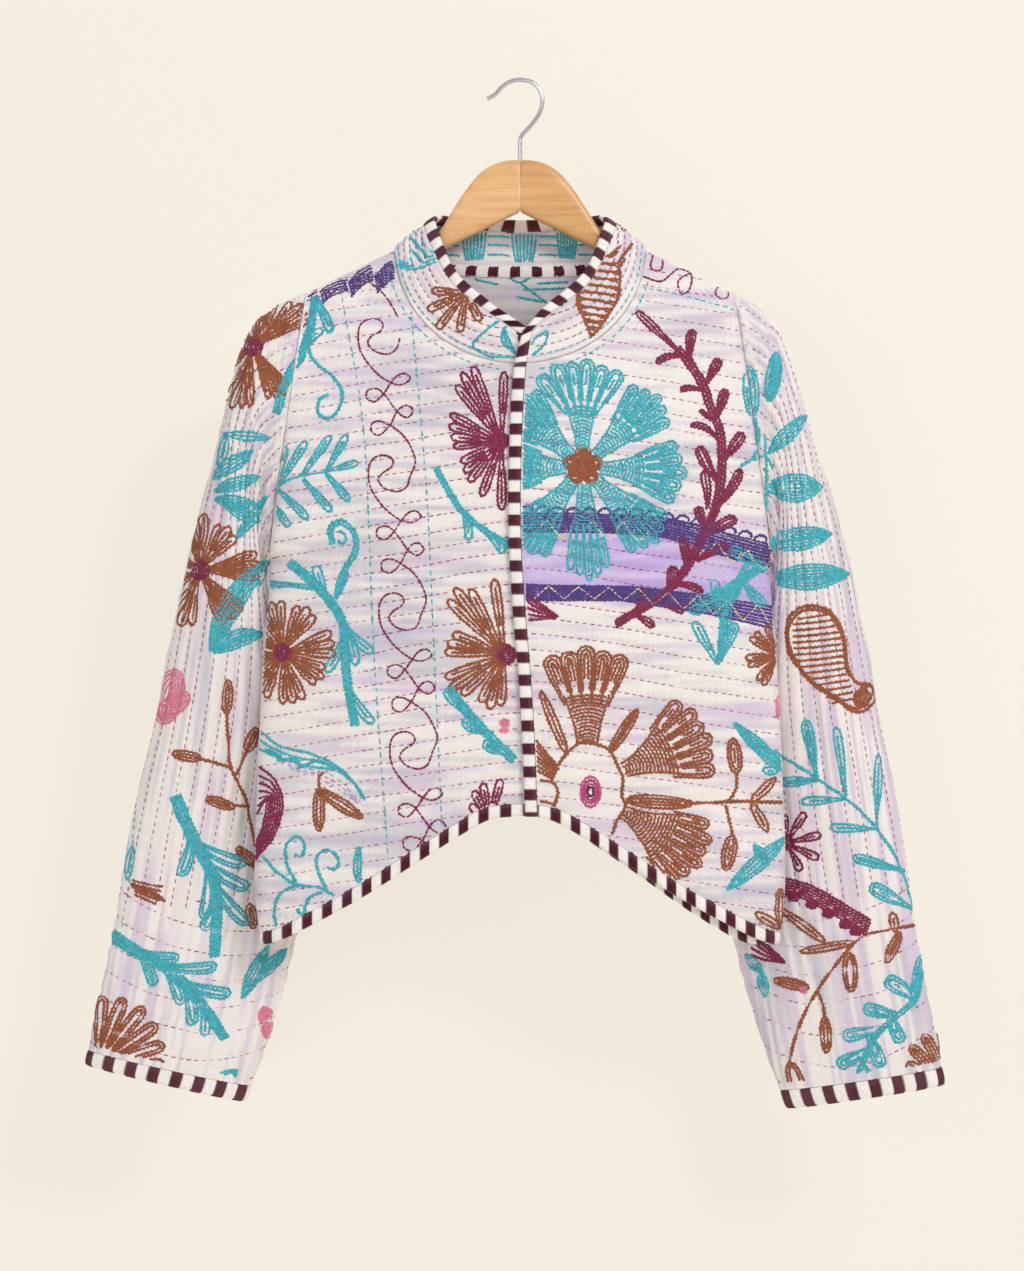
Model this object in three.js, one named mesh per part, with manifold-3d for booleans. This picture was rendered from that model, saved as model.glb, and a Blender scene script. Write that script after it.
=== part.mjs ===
// A quilted kantha jacket on a wooden hanger. Millimetres, +Z up, the front of the jacket faces -Y.
// The origin is under the crown of the hook, where a rail or peg carries it.
// The cloth is a set of thin walls: two fronts, a back, two sleeves and a stand collar, bound with strips.
import * as THREE from "three";
import { mergeVertices } from "three/addons/utils/BufferGeometryUtils.js";
import Module from "manifold-3d";

const wasm = await Module();
wasm.setup();

// Cloth, quilting and binding
const cloth = { wall: 2.4, seamGap: 0.3 };
const quilt = { pitch: 26, rise: 0.9, fadeIn: 16, rowTilt: 0.165, rowBow: 25 };
const strip = { width: 9.5, proud: 0.7, taper: 0.14 };

// The neck hole, the shoulder line and the armhole, for one half. X is measured out from the middle.
const neck = { halfWidth: 100, z: -134.4, frontDrop: 94, backDrop: 15, backSquare: 3 };
const shoulder = { slope: 0.49, tipX: 170, tipZ: -168.7, ridgeRadius: 11, reach: 110 };
const armhole = { bottomX: 200.2, bottomZ: -382, halfDepth: 24, power: 2.8 };
const body = { frontDepth: 44, backDepth: 50, frontPower: 3.2, backPower: 2.0 };
const sideSeam = { forward: 15, over: 80 };
const ridgeCos = 1 / Math.hypot(1, shoulder.slope);

const sideCurve = [
  { z: -690, x: 205.5 },
  { z: -655, x: 210 },
  { z: -622, x: 211 },
  { z: -575, x: 209.5 },
  { z: -495, x: 206 },
  { z: -446, x: 203 },
  { z: -415, x: 201 },
  { z: armhole.bottomZ, x: armhole.bottomX },
];
const hemCurve = [
  { x: 0, z: -584.5 },
  { x: 24, z: -587.5 },
  { x: 45, z: -598.5 },
  { x: 80, z: -620.5 },
  { x: 124, z: -648.5 },
  { x: 160, z: -668.5 },
  { x: 190, z: -683.5 },
  { x: 212, z: -689 },
];
// How far the back's hem hangs below the fronts', on the wearer's right (-x) and left (+x).
const backHemDrop = [
  { x: -150, drop: 2 },
  { x: 0, drop: 4 },
  { x: 90, drop: 6 },
  { x: 160, drop: 11 },
  { x: 185, drop: 9 },
  { x: 206, drop: 0 },
];
// The edge of the upper front, from neck to hem, and how the under front reaches past it.
const frontEdge = [
  { z: -600, x: 4.5 },
  { z: -523, x: 1.5 },
  { z: -472, x: -1.5 },
  { z: -426, x: -5.5 },
  { z: -366, x: -9 },
  { z: -310, x: -9 },
  { z: -242, x: -6 },
  { z: -200, x: -1 },
];
const overlap = { reach: 15, step: 5.4, flat: 16, fade: 70 };
// Soft vertical folds in the fronts: which side, where, how long, how wide and how deep.
const frontFolds = [
  { side: 1, x: 112, z: -455, length: 70, width: 24, depth: 3.5 },
  { side: 1, x: 70, z: -570, length: 80, width: 24, depth: 3.5 },
  { side: -1, x: 150, z: -600, length: 90, width: 30, depth: 3 },
  { side: -1, x: 62, z: -420, length: 120, width: 30, depth: 2 },
];
const backFolds = [
  { side: 1, x: 95, z: -500, length: 130, width: 32, depth: 4 },
  { side: -1, x: 75, z: -560, length: 110, width: 30, depth: 4 },
  { side: -1, x: 140, z: -430, length: 100, width: 30, depth: 3.5 },
];

// Sleeve sections from armhole to cuff: the outer and inner edge, how far back each lies, and half the depth.
const sleeveLeftSide = [
  { outX: 170, outZ: -168.7, inX: 200.2, inZ: -382, outY: 0, inY: 0, half: 24 },
  { outX: 183, outZ: -174.4, inX: 203, inZ: -388, outY: 0, inY: 4, half: 26 },
  { outX: 201.6, outZ: -185.6, inX: 204.5, inZ: -394, outY: 1, inY: 10, half: 29 },
  { outX: 214.4, outZ: -200, inX: 205, inZ: -401, outY: 2, inY: 17, half: 34 },
  { outX: 227, outZ: -232, inX: 203, inZ: -414, outY: 4, inY: 29, half: 40 },
  { outX: 243, outZ: -296, inX: 193, inZ: -439, outY: 6, inY: 45, half: 44 },
  { outX: 262, outZ: -372, inX: 181.5, inZ: -479, outY: 8, inY: 54, half: 43 },
  { outX: 284, outZ: -474, inX: 174, inZ: -548, outY: 9, inY: 56, half: 36 },
  { outX: 308, outZ: -586, inX: 176, inZ: -634, outY: 8, inY: 51, half: 28 },
  { outX: 328, outZ: -692, inX: 189, inZ: -715, outY: 5, inY: 40, half: 21 },
  { outX: 347.5, outZ: -785.5, inX: 221.5, inZ: -818.5, outY: 0, inY: 22, half: 14 },
];
const sleeveRightSide = [
  { outX: 170, outZ: -168.7, inX: 200.2, inZ: -382, outY: 0, inY: 0, half: 24 },
  { outX: 180, outZ: -174.4, inX: 203, inZ: -388, outY: 0, inY: 4, half: 26 },
  { outX: 196, outZ: -185.6, inX: 204.5, inZ: -394, outY: 1, inY: 10, half: 29 },
  { outX: 207.5, outZ: -200, inX: 205, inZ: -401, outY: 2, inY: 17, half: 34 },
  { outX: 219, outZ: -232, inX: 203, inZ: -414, outY: 4, inY: 29, half: 40 },
  { outX: 238, outZ: -296, inX: 193, inZ: -439, outY: 6, inY: 45, half: 44 },
  { outX: 259.5, outZ: -372, inX: 181.5, inZ: -479, outY: 8, inY: 54, half: 43 },
  { outX: 281, outZ: -474, inX: 173, inZ: -548, outY: 9, inY: 56, half: 36 },
  { outX: 302, outZ: -586, inX: 171, inZ: -624, outY: 8, inY: 51, half: 28 },
  { outX: 319, outZ: -690, inX: 178.5, inZ: -706, outY: 5, inY: 40, half: 21 },
  { outX: 339.5, outZ: -801.5, inX: 215, inZ: -824, outY: 0, inY: 22, half: 14 },
];
const sleeveGrid = { lines: 16, rings: 15, power: 2.3, seamStep: 0.42 };
// Lengthwise folds in a sleeve: where round the section (0 outer edge, 0.25 front, 0.5 inner edge),
// how wide as a share of the round, how deep, and the stretch of the sleeve that they run over.
const sleeveFolds = [
  { at: 0.34, width: 0.045, depth: 4.5, from: 0.12, to: 0.62 },
  { at: 0.2, width: 0.05, depth: 3, from: 0.3, to: 0.85 },
  { at: 0.68, width: 0.05, depth: 4, from: 0.15, to: 0.7 },
  { at: 0.84, width: 0.05, depth: 3, from: 0.35, to: 0.9 },
];

// The collar's free top edge, for one half, from the middle of the back round to the front.
const collarTop = [
  { q: 0, x: 0, y: 26, z: -107 },
  { q: 0.2, x: 30, y: 24.5, z: -107 },
  { q: 0.36, x: 52, y: 17, z: -106 },
  { q: 0.46, x: 65, y: 8, z: -105.5 },
  { q: 0.52, x: 68, y: -2, z: -109 },
  { q: 0.58, x: 66.5, y: -10, z: -117 },
  { q: 0.65, x: 62.5, y: -18, z: -129 },
  { q: 0.73, x: 57, y: -25.5, z: -144 },
  { q: 0.8, x: 49, y: -31, z: -157.5 },
  { q: 0.87, x: 36, y: -34.5, z: -170 },
  { q: 0.94, x: 19, y: -36.5, z: -184 },
  { q: 1, x: 2, y: -37.5, z: -204 },
];
const collar = { frontColumns: 11, backColumns: 9, rows: 3, bulge: 2.5, neckPoint: 0.5 };

// The hanger: two wooden arms that meet in the middle, and a wire hook
const wood = { halfThick: 6.5, tipHalfThick: 5, clear: 3.3, tipDrop: 2.5, tipX: 181, power: 3.2 };
const crown = [
  { x: 0, top: -62.4, bottom: -104 },
  { x: 10, top: -62.9, bottom: -109 },
  { x: 20, top: -65.6, bottom: -114 },
  { x: 29, top: -70.6, bottom: -118.5 },
  { x: 37, top: -78.5, bottom: -122.5 },
  { x: 45, top: -89, bottom: -126.5 },
  { x: 54, top: -103, bottom: -131 },
  { x: 64, top: -118.5, bottom: -137 },
  { x: 80, top: -130.5, bottom: -146 },
  { x: 101, top: -140, bottom: -154 },
];
const hook = { radius: 1.8, sides: 8, steps: 34, hole: 2.1, holeDepth: 20 };
const hookLine = [
  { x: 0, z: -80 },
  { x: 0, z: -64 },
  { x: 0, z: -50 },
  { x: 1, z: -43.5 },
  { x: 8.5, z: -35 },
  { x: 15.5, z: -25 },
  { x: 18, z: -15 },
  { x: 15.5, z: -6 },
  { x: 9, z: 0 },
  { x: 0, z: hook.radius },
  { x: -8, z: 0.2 },
  { x: -15, z: -4.5 },
  { x: -20, z: -10 },
  { x: -26.5, z: -13.5 },
];

const colours = {
  cloth: 0xe9e4e6,
  binding: 0x8d7577,
  wood: 0xd9a86c,
  steel: 0xb9bcc0,
};

// Small maths
const clamp = (v, low, high) => Math.min(high, Math.max(low, v));
const smooth = (t) => {
  const c = clamp(t, 0, 1);
  return c * c * (3 - 2 * c);
};
const vec = (x, y, z) => new THREE.Vector3(x, y, z);

// A smooth curve through a table's rows: the value of one column as another runs.
function curveOf(rows, from, to) {
  const at = rows.map((r) => r[from]);
  const value = rows.map((r) => r[to]);
  const last = rows.length - 1;
  const slope = at.map((_, i) => {
    const a = Math.max(i - 1, 0);
    const b = Math.min(i + 1, last);
    return (value[b] - value[a]) / (at[b] - at[a]);
  });
  return (x) => {
    const c = clamp(x, at[0], at[last]);
    let k = 0;
    while (k < last - 1 && c > at[k + 1]) k += 1;
    const h = at[k + 1] - at[k];
    const t = (c - at[k]) / h;
    const rest = 1 - t;
    return (
      value[k] * (1 + 2 * t) * rest * rest +
      value[k + 1] * t * t * (3 - 2 * t) +
      h * t * rest * (slope[k] * rest - slope[k + 1] * t)
    );
  };
}

// Where a falling function crosses zero between two ends
function crossing(f, low, high) {
  let a = low;
  let b = high;
  const positive = f(a) > 0;
  for (let i = 0; i < 40; i += 1) {
    const mid = (a + b) / 2;
    if (f(mid) > 0 === positive) a = mid;
    else b = mid;
  }
  return (a + b) / 2;
}

// A mesh under construction, with the helpers that close a wall
class Shell {
  constructor() {
    this.points = [];
    this.faces = [];
  }
  add(p) {
    this.points.push(p.x, p.y, p.z);
    return this.points.length / 3 - 1;
  }
  face(a, b, c) {
    this.faces.push(a, b, c);
  }
  // A flat end over a ring of point numbers, as a fan
  cap(ring, reversed) {
    for (let k = 1; k + 1 < ring.length; k += 1) {
      if (reversed) this.face(ring[0], ring[k + 1], ring[k]);
      else this.face(ring[0], ring[k], ring[k + 1]);
    }
  }
  // Faces of a grid of point numbers, closed round its columns if it is a tube
  grid(ids, reversed, tube) {
    for (let i = 0; i + 1 < ids.length; i += 1) {
      const columns = ids[i].length;
      for (let j = 0; j < (tube ? columns : columns - 1); j += 1) {
        const k = (j + 1) % columns;
        const [a, b, c, d] = [ids[i][j], ids[i + 1][j], ids[i + 1][k], ids[i][k]];
        if (reversed) {
          this.face(a, c, b);
          this.face(a, d, c);
        } else {
          this.face(a, b, c);
          this.face(a, c, d);
        }
      }
    }
  }
  // The rim between an outer and an inner line of points, each a list of { id, t }
  rim(outer, inner, reversed) {
    let i = 0;
    let j = 0;
    while (i < outer.length - 1 || j < inner.length - 1) {
      const alongOuter =
        j === inner.length - 1 || (i < outer.length - 1 && outer[i + 1].t <= inner[j + 1].t);
      const next = alongOuter ? outer[i + 1].id : inner[j + 1].id;
      const [a, b, c] = [outer[i].id, next, inner[j].id];
      if (reversed) this.face(a, c, b);
      else this.face(a, b, c);
      if (alongOuter) i += 1;
      else j += 1;
    }
  }
  geometry() {
    return new THREE.BufferGeometry()
      .setAttribute("position", new THREE.BufferAttribute(new Float32Array(this.points), 3))
      .setIndex(this.faces);
  }
}

// The body's form
const sideBelow = curveOf(sideCurve, "z", "x");
const hemFront = curveOf(hemCurve, "x", "z");
const hemDrop = curveOf(backHemDrop, "x", "drop");
const edgeX = curveOf(frontEdge, "z", "x");

function sideX(z) {
  if (z < armhole.bottomZ) return sideBelow(z);
  const share = (shoulder.tipZ - z) / (shoulder.tipZ - armhole.bottomZ);
  return shoulder.tipX + share * (armhole.bottomX - shoulder.tipX);
}
const ridgeZ = (x) => neck.z - shoulder.slope * (Math.abs(x) - neck.halfWidth);
const frontNeckZ = (x) =>
  neck.z - neck.frontDrop * Math.sqrt(Math.max(0, 1 - (x / neck.halfWidth) ** 2));
const backNeckZ = (x) =>
  neck.z - neck.backDrop * Math.sqrt(Math.max(0, 1 - Math.abs(x / neck.halfWidth) ** neck.backSquare));
// The wall stops short of a bound edge, by the strip's width and a seam's gap
const boundDepth = strip.width + cloth.seamGap;
const hemRise = (x) => boundDepth * Math.hypot(1, (hemFront(x + 2) - hemFront(Math.max(0, x - 2))) / 4);
const hemZ = (face, side, x) => hemFront(Math.abs(x)) - (face === "back" ? hemDrop(side * x) : 0);
const frontInnerX = (side, z) => (side === 1 ? edgeX(z) : -(edgeX(z) + overlap.reach));
const rowBow = (x) => Math.hypot(x, quilt.rowBow) - quilt.rowBow;

// How far the side edge lies off the middle plane: the eye of the armhole, then the side seam
function sideY(face, z) {
  if (z < armhole.bottomZ) return -sideSeam.forward * smooth((armhole.bottomZ - z) / sideSeam.over);
  const t = (2 * (shoulder.tipZ - z)) / (shoulder.tipZ - armhole.bottomZ) - 1;
  const half = armhole.halfDepth * (1 - Math.min(1, Math.abs(t)) ** armhole.power) ** (1 / armhole.power);
  return face === "front" ? -half : half;
}
// The cloth rolls over the hanger at the shoulder, then opens towards its full depth
const dropBelowRidge = (x, z) => Math.max(0, (ridgeZ(x) - z) * ridgeCos);
function ridgeRoll(drop) {
  const roll = 1 - Math.min(drop, shoulder.ridgeRadius) / shoulder.ridgeRadius;
  return shoulder.ridgeRadius * Math.sqrt(1 - roll * roll);
}
function depthBelowRidge(drop, full) {
  const opening = 1 - Math.exp(-Math.max(0, drop - shoulder.ridgeRadius) / shoulder.reach);
  return ridgeRoll(drop) + (full - shoulder.ridgeRadius) * opening;
}
function foldIn(folds, side, x, z) {
  return folds
    .filter((f) => f.side === side)
    .reduce(
      (sum, f) =>
        sum +
        f.depth *
          Math.exp(-(((x - f.x) / f.width) ** 2) - ((z - f.z) / f.length) ** 2) *
          smooth(x / 30),
      0,
    );
}
// A point of the body's outer surface. side is -1 or 1, share runs from the middle (0) to the side edge (1).
function bodyPoint(face, side, share, z) {
  const x = share * sideX(z);
  const front = face === "front";
  const outward = front ? -1 : 1;
  const power = front ? body.frontPower : body.backPower;
  const drop = dropBelowRidge(x, z);
  const middle = depthBelowRidge(drop, front ? body.frontDepth : body.backDepth);
  const swell = (1 - Math.min(1, Math.abs(share)) ** power) ** (1 / power);
  const edge = sideY(face, z);
  let y = edge + (outward * middle - edge) * swell;
  // Over the hanger the cloth keeps at least the ridge's own roll
  const roll = ridgeRoll(drop) * smooth((1 - Math.abs(share)) / 0.07);
  const near = smooth(1 - drop / 60);
  if (z > armhole.bottomZ) y += outward * near * (Math.hypot(y, roll) - Math.abs(y));
  y -= outward * foldIn(front ? frontFolds : backFolds, side, x, z) * swell;
  if (front && side === 1)
    y -= overlap.step * (1 - smooth((x - overlap.flat) / overlap.fade));
  return vec(side * x, y, z);
}
// The outward normal there, by small steps. Edges on a seam turn into the seam's own plane.
function bodyNormal(face, side, share, z, seam) {
  if (seam === "ridge") return vec(side * shoulder.slope, 0, 1).normalize();
  if (seam === "side") return vec(side, 0, 0);
  const d = 0.003;
  const across = bodyPoint(face, side, Math.min(1, share + d), z).sub(
    bodyPoint(face, side, share - d, z),
  );
  const up = bodyPoint(face, side, share, z + 0.4).sub(bodyPoint(face, side, share, z - 0.4));
  const n = across.cross(up).normalize();
  const outward = face === "front" ? -1 : 1;
  if (n.y * outward < 0) n.negate();
  if (seam !== "armhole") return n;
  const across1 = armholeNormal(side);
  return n.addScaledVector(across1, -n.dot(across1)).normalize();
}
// The direction out of the body, square to the armhole's plane
function armholeNormal(side) {
  const run = armhole.bottomX - shoulder.tipX;
  return vec(side * (shoulder.tipZ - armhole.bottomZ), 0, run).normalize();
}

// Points of the body's outer face at x and z, with the normal there
function onBody(face, side, x, z) {
  const share = x / sideX(z);
  return { p: bodyPoint(face, side, share, z), n: bodyNormal(face, side, share, z, null) };
}

// The x of each wall station along the neck, from the neck point in to the middle
function neckStations(face, side) {
  const inner = face === "front" ? frontInnerX(side, frontNeckZ(0)) + boundDepth : 0;
  const count = face === "front" ? collar.frontColumns : collar.backColumns;
  const least = Math.acos(inner / neck.halfWidth);
  return Array.from({ length: count - 1 }, (_, k) => neck.halfWidth * Math.cos((least * (k + 0.6)) / (count - 0.4)));
}

// Half of a body panel, as rows that follow the quilting from the inner edge out to the shoulder or side
function panelRows(face, side) {
  const front = face === "front";
  const innerX = (z) => (front ? frontInnerX(side, z) + boundDepth : 0);
  const neckLine = front ? frontNeckZ : backNeckZ;
  const hemLine = (x) => hemZ(face, side, x) + hemRise(Math.abs(x));
  const rowZ = (g, x) => g - quilt.rowTilt * rowBow(x);
  const grain = (x, z) => z + quilt.rowTilt * rowBow(x);

  const neckCornerX = innerX(frontNeckZ(0));
  const neckCorner = grain(neckCornerX, neckLine(neckCornerX));
  const hemCornerX = innerX(hemFront(0));
  const hemCorner = grain(hemCornerX, hemLine(hemCornerX));
  const cornerX = sideX(-689);
  const last = grain(cornerX, hemLine(cornerX)) + 1;
  const fixed = [
    hemCorner,
    grain(shoulder.tipX, shoulder.tipZ),
    grain(armhole.bottomX, armhole.bottomZ),
  ];

  // Fronts and back share one ladder of rows, so that they meet point to point down the side seam
  const half = quilt.pitch / 2;
  const rows = neckStations(face, side).map((x, k) => ({ g: grain(x, neckLine(x)), beat: k, part: "neck" }));
  rows.push({ g: neckCorner, beat: rows.length });
  for (let beat = Math.floor((neckCorner - half / 2) / half); beat * half > last + half / 2; beat -= 1)
    rows.push({ g: beat * half, beat });
  rows.push({ g: last, beat: 0 });
  fixed.forEach((g) => {
    const near = rows.reduce((best, r) => (Math.abs(r.g - g) < Math.abs(best.g - g) ? r : best));
    if (!near.part) near.g = g;
  });

  return rows.map(({ g, beat, part: given }, index) => {
    let left;
    let part;
    if (given) {
      left = neckStations(face, side)[index];
      part = "neck";
    } else if (g < hemCorner - 1e-6) {
      left = crossing((x) => rowZ(g, x) - hemLine(x), hemCornerX, cornerX + 3);
      part = "hem";
    } else {
      left = innerX(rowZ(g, 0));
      part = "edge";
    }
    const tip = grain(shoulder.tipX, shoulder.tipZ);
    let right;
    let seam;
    if (g > tip + 1e-6) {
      right = crossing((x) => rowZ(g, x) - ridgeZ(x), neck.halfWidth - 12, shoulder.tipX);
      seam = "ridge";
    } else {
      right = crossing((x) => sideX(rowZ(g, x)) - x, 120, 230);
      seam = rowZ(g, right) > armhole.bottomZ + 0.01 ? "armhole" : "side";
    }
    return { g, beat, left, right, part, seam, z: (x) => rowZ(g, x), hemLine, neckLine };
  });
}

const columnShares = [0, 0.17, 0.34, 0.5, 0.65, 0.78, 0.88, 0.955, 1];
const innerColumns = [0, 2, 4, 5, 6, 7, 8];

function panelPoint(face, side, row, columnShare) {
  const x = row.left + (row.right - row.left) * columnShare;
  const z = row.z(x);
  const share = x / sideX(z);
  const atEdge = columnShare === 1;
  const seam = atEdge ? row.seam : null;
  const point = bodyPoint(face, side, share, z);
  if (seam && seam !== "armhole") {
    const own = row.seam === "side" ? sideY(face, z) : 0;
    point.y = own + (face === "front" ? -0.5 : 0.5) * cloth.seamGap;
  }
  const normal = bodyNormal(face, side, share, z, seam);
  const room = Math.min(
    (row.right - x) / quilt.fadeIn,
    (ridgeZ(x) - z) / quilt.fadeIn,
    (z - row.hemLine(x)) / quilt.fadeIn,
    row.part === "edge" && face === "back" ? 1 : (x - row.left) / quilt.fadeIn,
  );
  const ribbed = row.beat % 2 !== 0 && !(row.part === "neck" && face === "back");
  const raised = ribbed ? quilt.rise * smooth(room) : 0;
  return {
    outer: point.clone().addScaledVector(normal, raised),
    inner: point.clone().addScaledVector(normal, -cloth.wall),
  };
}

// Adds half a panel to a shell. Its inner column is left open where the two halves of the back join.
function addHalfPanel(shell, face, side, joined) {
  const rows = panelRows(face, side);
  const last = rows.length - 1;
  const turn = rows.findIndex((r) => r.part !== "neck");
  const foot = rows.findIndex((r) => r.part === "hem") - 1;
  const kept = rows
    .map((_, i) => i)
    .filter((i) => rows[i].beat % 3 === 0 || i === turn || i === foot || rows[i].part !== "edge");
  const points = rows.map((r) => columnShares.map((c) => panelPoint(face, side, r, c)));
  const outer = points.map((line) => line.map((p) => shell.add(p.outer)));
  const inner = kept.map((i) => innerColumns.map((j) => shell.add(points[i][j].inner)));
  // The mirrored half, and the back, wind the other way round
  const turned = (side === 1) !== (face === "front");
  shell.grid(outer, turned, false);
  shell.grid(inner, !turned, false);

  const lastColumn = columnShares.length - 1;
  const column = (j, k, from, to) => ({
    a: rows.map((_, i) => ({ id: outer[i][j], t: i })).filter((p) => p.t >= from && p.t <= to),
    b: kept.map((i, m) => ({ id: inner[m][k], t: i })).filter((p) => p.t >= from && p.t <= to),
  });
  const line = (i, m) => ({
    a: columnShares.map((_, j) => ({ id: outer[i][j], t: j })),
    b: innerColumns.map((j, k) => ({ id: inner[m][k], t: j })),
  });
  const backwards = (list) => list.map((p) => ({ id: p.id, t: -p.t })).reverse();
  const forward = ({ a, b }) => shell.rim(a, b, turned);
  const backward = ({ a, b }) => shell.rim(backwards(a), backwards(b), turned);
  forward(line(0, 0));
  forward(column(lastColumn, innerColumns.length - 1, 0, last));
  backward(line(last, kept.length - 1));
  if (joined) {
    backward(column(0, 0, foot, last));
    backward(column(0, 0, 0, turn));
  } else {
    backward(column(0, 0, 0, last));
  }
}

function frontPanel(side) {
  const shell = new Shell();
  addHalfPanel(shell, "front", side, false);
  return shell.geometry();
}
function backPanel() {
  const shell = new Shell();
  addHalfPanel(shell, "back", 1, true);
  addHalfPanel(shell, "back", -1, true);
  return shell.geometry();
}

// Sleeves: a tube through sections, quilted along its length
function sleeveSection(rows, along) {
  const place = along * (rows.length - 1);
  const numbered = rows.map((r, i) => ({ ...r, i }));
  const value = (key) => curveOf(numbered, "i", key)(place);
  const outEdge = vec(value("outX"), value("outY"), value("outZ"));
  const inEdge = vec(value("inX"), value("inY"), value("inZ"));
  const half = outEdge.clone().sub(inEdge).multiplyScalar(0.5);
  const centre = outEdge.clone().add(inEdge).multiplyScalar(0.5);
  const along1 = half.clone().normalize();
  const back = vec(0, 1, 0).addScaledVector(along1, -along1.y).normalize();
  return { centre, half, back, depth: value("half") };
}
function sectionPoint(section, turn, inset) {
  const c = Math.cos(turn * 2 * Math.PI);
  const s = Math.sin(turn * 2 * Math.PI);
  const e = 2 / sleeveGrid.power;
  const length = section.half.length();
  const reach = Math.sign(c) * Math.abs(c) ** e * (1 - inset / length);
  const depth = -Math.sign(s) * Math.abs(s) ** e * (section.depth - inset);
  return section.centre
    .clone()
    .addScaledVector(section.half, reach)
    .addScaledVector(section.back, depth);
}
// Even steps round a section, so that the quilting lines keep their spacing
function evenTurns(section, count) {
  const fine = 360;
  const lengths = [0];
  let before = sectionPoint(section, 0, 0);
  for (let i = 1; i <= fine; i += 1) {
    const p = sectionPoint(section, i / fine, 0);
    lengths.push(lengths[i - 1] + p.distanceTo(before));
    before = p;
  }
  const total = lengths[fine];
  return Array.from({ length: count }, (_, k) => {
    const target = (total * k) / count;
    let i = 0;
    while (lengths[i + 1] < target) i += 1;
    return (i + (target - lengths[i]) / (lengths[i + 1] - lengths[i])) / fine;
  });
}
const sleeveFoldDepth = (share, along) =>
  sleeveFolds.reduce((sum, f) => {
    const off = (share - f.at) / f.width;
    const window = smooth((along - f.from) / 0.12) * smooth((f.to - along) / 0.12);
    return sum + f.depth * Math.exp(-off * off) * window;
  }, 0);

function sleeveRing(rows, side, along) {
  const section = sleeveSection(rows, along);
  const count = sleeveGrid.lines * 2;
  const turns = evenTurns(section, count);
  const pull = armholeNormal(1).multiplyScalar(sleeveGrid.seamStep * (1 - smooth(along / 0.05)));
  const point = (k, inset) => {
    const fold = sleeveFoldDepth(k / count, along);
    const p = sectionPoint(section, turns[k], inset + fold);
    p.add(pull);
    p.x *= side;
    return p;
  };
  const edge = smooth(along / 0.06) * smooth((1 - along) / 0.05);
  return turns.map((_, k) => ({
    outer: point(k, k % 2 === 1 ? -quilt.rise * edge : 0),
    inner: point(k, cloth.wall),
  }));
}
// The place along a sleeve that lies a depth short of the cuff's edge
function cuffShare(rows, depth) {
  const [a, b] = [sleeveSection(rows, 0.95).centre, sleeveSection(rows, 1).centre];
  return 1 - (0.05 * depth) / a.distanceTo(b);
}
function sleeve(rows, side) {
  const shell = new Shell();
  const wallEnd = cuffShare(rows, boundDepth);
  const ringAt = Array.from({ length: sleeveGrid.rings }, (_, i) => (wallEnd * i) / (sleeveGrid.rings - 1));
  const rings = ringAt.map((along) => sleeveRing(rows, side, along));
  const outer = rings.map((ring) => ring.map((p) => shell.add(p.outer)));
  const inner = rings.map((ring) => ring.filter((_, k) => k % 2 === 0).map((p) => shell.add(p.inner)));
  const turned = side === 1;
  shell.grid(outer, turned, true);
  shell.grid(inner, !turned, true);
  const loop = (i, sign) => {
    const a = outer[i].map((id, t) => ({ id, t }));
    const b = inner[i].map((id, t) => ({ id, t: 2 * t }));
    a.push({ id: outer[i][0], t: a.length });
    b.push({ id: inner[i][0], t: a.length - 1 });
    if (sign > 0) shell.rim(a, b, turned);
    else
      shell.rim(
        a.map((p) => ({ id: p.id, t: -p.t })).reverse(),
        b.map((p) => ({ id: p.id, t: -p.t })).reverse(),
        turned,
      );
  };
  loop(0, 1);
  loop(rings.length - 1, -1);
  return shell.geometry();
}

// The collar: a band between the neck seam and its free top edge
const topX = curveOf(collarTop, "q", "x");
const topY = curveOf(collarTop, "q", "y");
const topZ = curveOf(collarTop, "q", "z");

// The neck seam on the panels: q runs from the middle of the back (0) round to the front edge (1 or -1)
function neckPlace(q) {
  const side = q < 0 ? -1 : 1;
  const share = Math.abs(q);
  if (share < collar.neckPoint) {
    const x = neck.halfWidth * Math.sin(((share / collar.neckPoint) * Math.PI) / 2);
    return ["back", side, x, backNeckZ(x)];
  }
  const t = (share - collar.neckPoint) / (1 - collar.neckPoint);
  const end = frontInnerX(side, -229);
  const x = end + (neck.halfWidth - end) * Math.cos((t * Math.PI) / 2);
  return ["front", side, x, frontNeckZ(x)];
}
const neckSeam = (q) => onBody(...neckPlace(q)).p;
// The wall's direction at the seam, turned gently from the front's to the back's at the neck point
function neckNormal(q) {
  const share = Math.abs(q);
  const own = onBody(...neckPlace(q)).n;
  const side = q < 0 ? -1 : 1;
  const turn = 1 - smooth(Math.abs(share - collar.neckPoint) / 0.02);
  return own.lerp(vec(side, 0, 0.2), turn).normalize();
}
function collarPoint(q, up) {
  const side = q < 0 ? -1 : 1;
  const share = Math.abs(q);
  const seam = neckSeam(q);
  const lift = smooth((share - 0.8) / 0.2);
  const end = side === 1 ? 0 : -overlap.reach + 4;
  const step = side === 1 ? overlap.step * lift : 0;
  const top = vec(
    side * (topX(share) + end * smooth((share - 0.93) / 0.07)),
    topY(share) - step,
    topZ(share),
  );
  const p = seam.clone().lerp(top, up);
  // A soft outward roll in the middle of the band
  const out = vec(p.x, p.y * 2, 0).normalize();
  p.addScaledVector(out, collar.bulge * 4 * up * (1 - up) * (1 - 0.6 * lift));
  return p;
}
function collarNormal(q, up) {
  const d = 0.004;
  const across = collarPoint(Math.min(1, q + d), up).sub(collarPoint(Math.max(-1, q - d), up));
  const rise = collarPoint(q, Math.min(1, up + 0.02)).sub(collarPoint(q, Math.max(0, up - 0.02)));
  return rise.cross(across).normalize();
}
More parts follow.
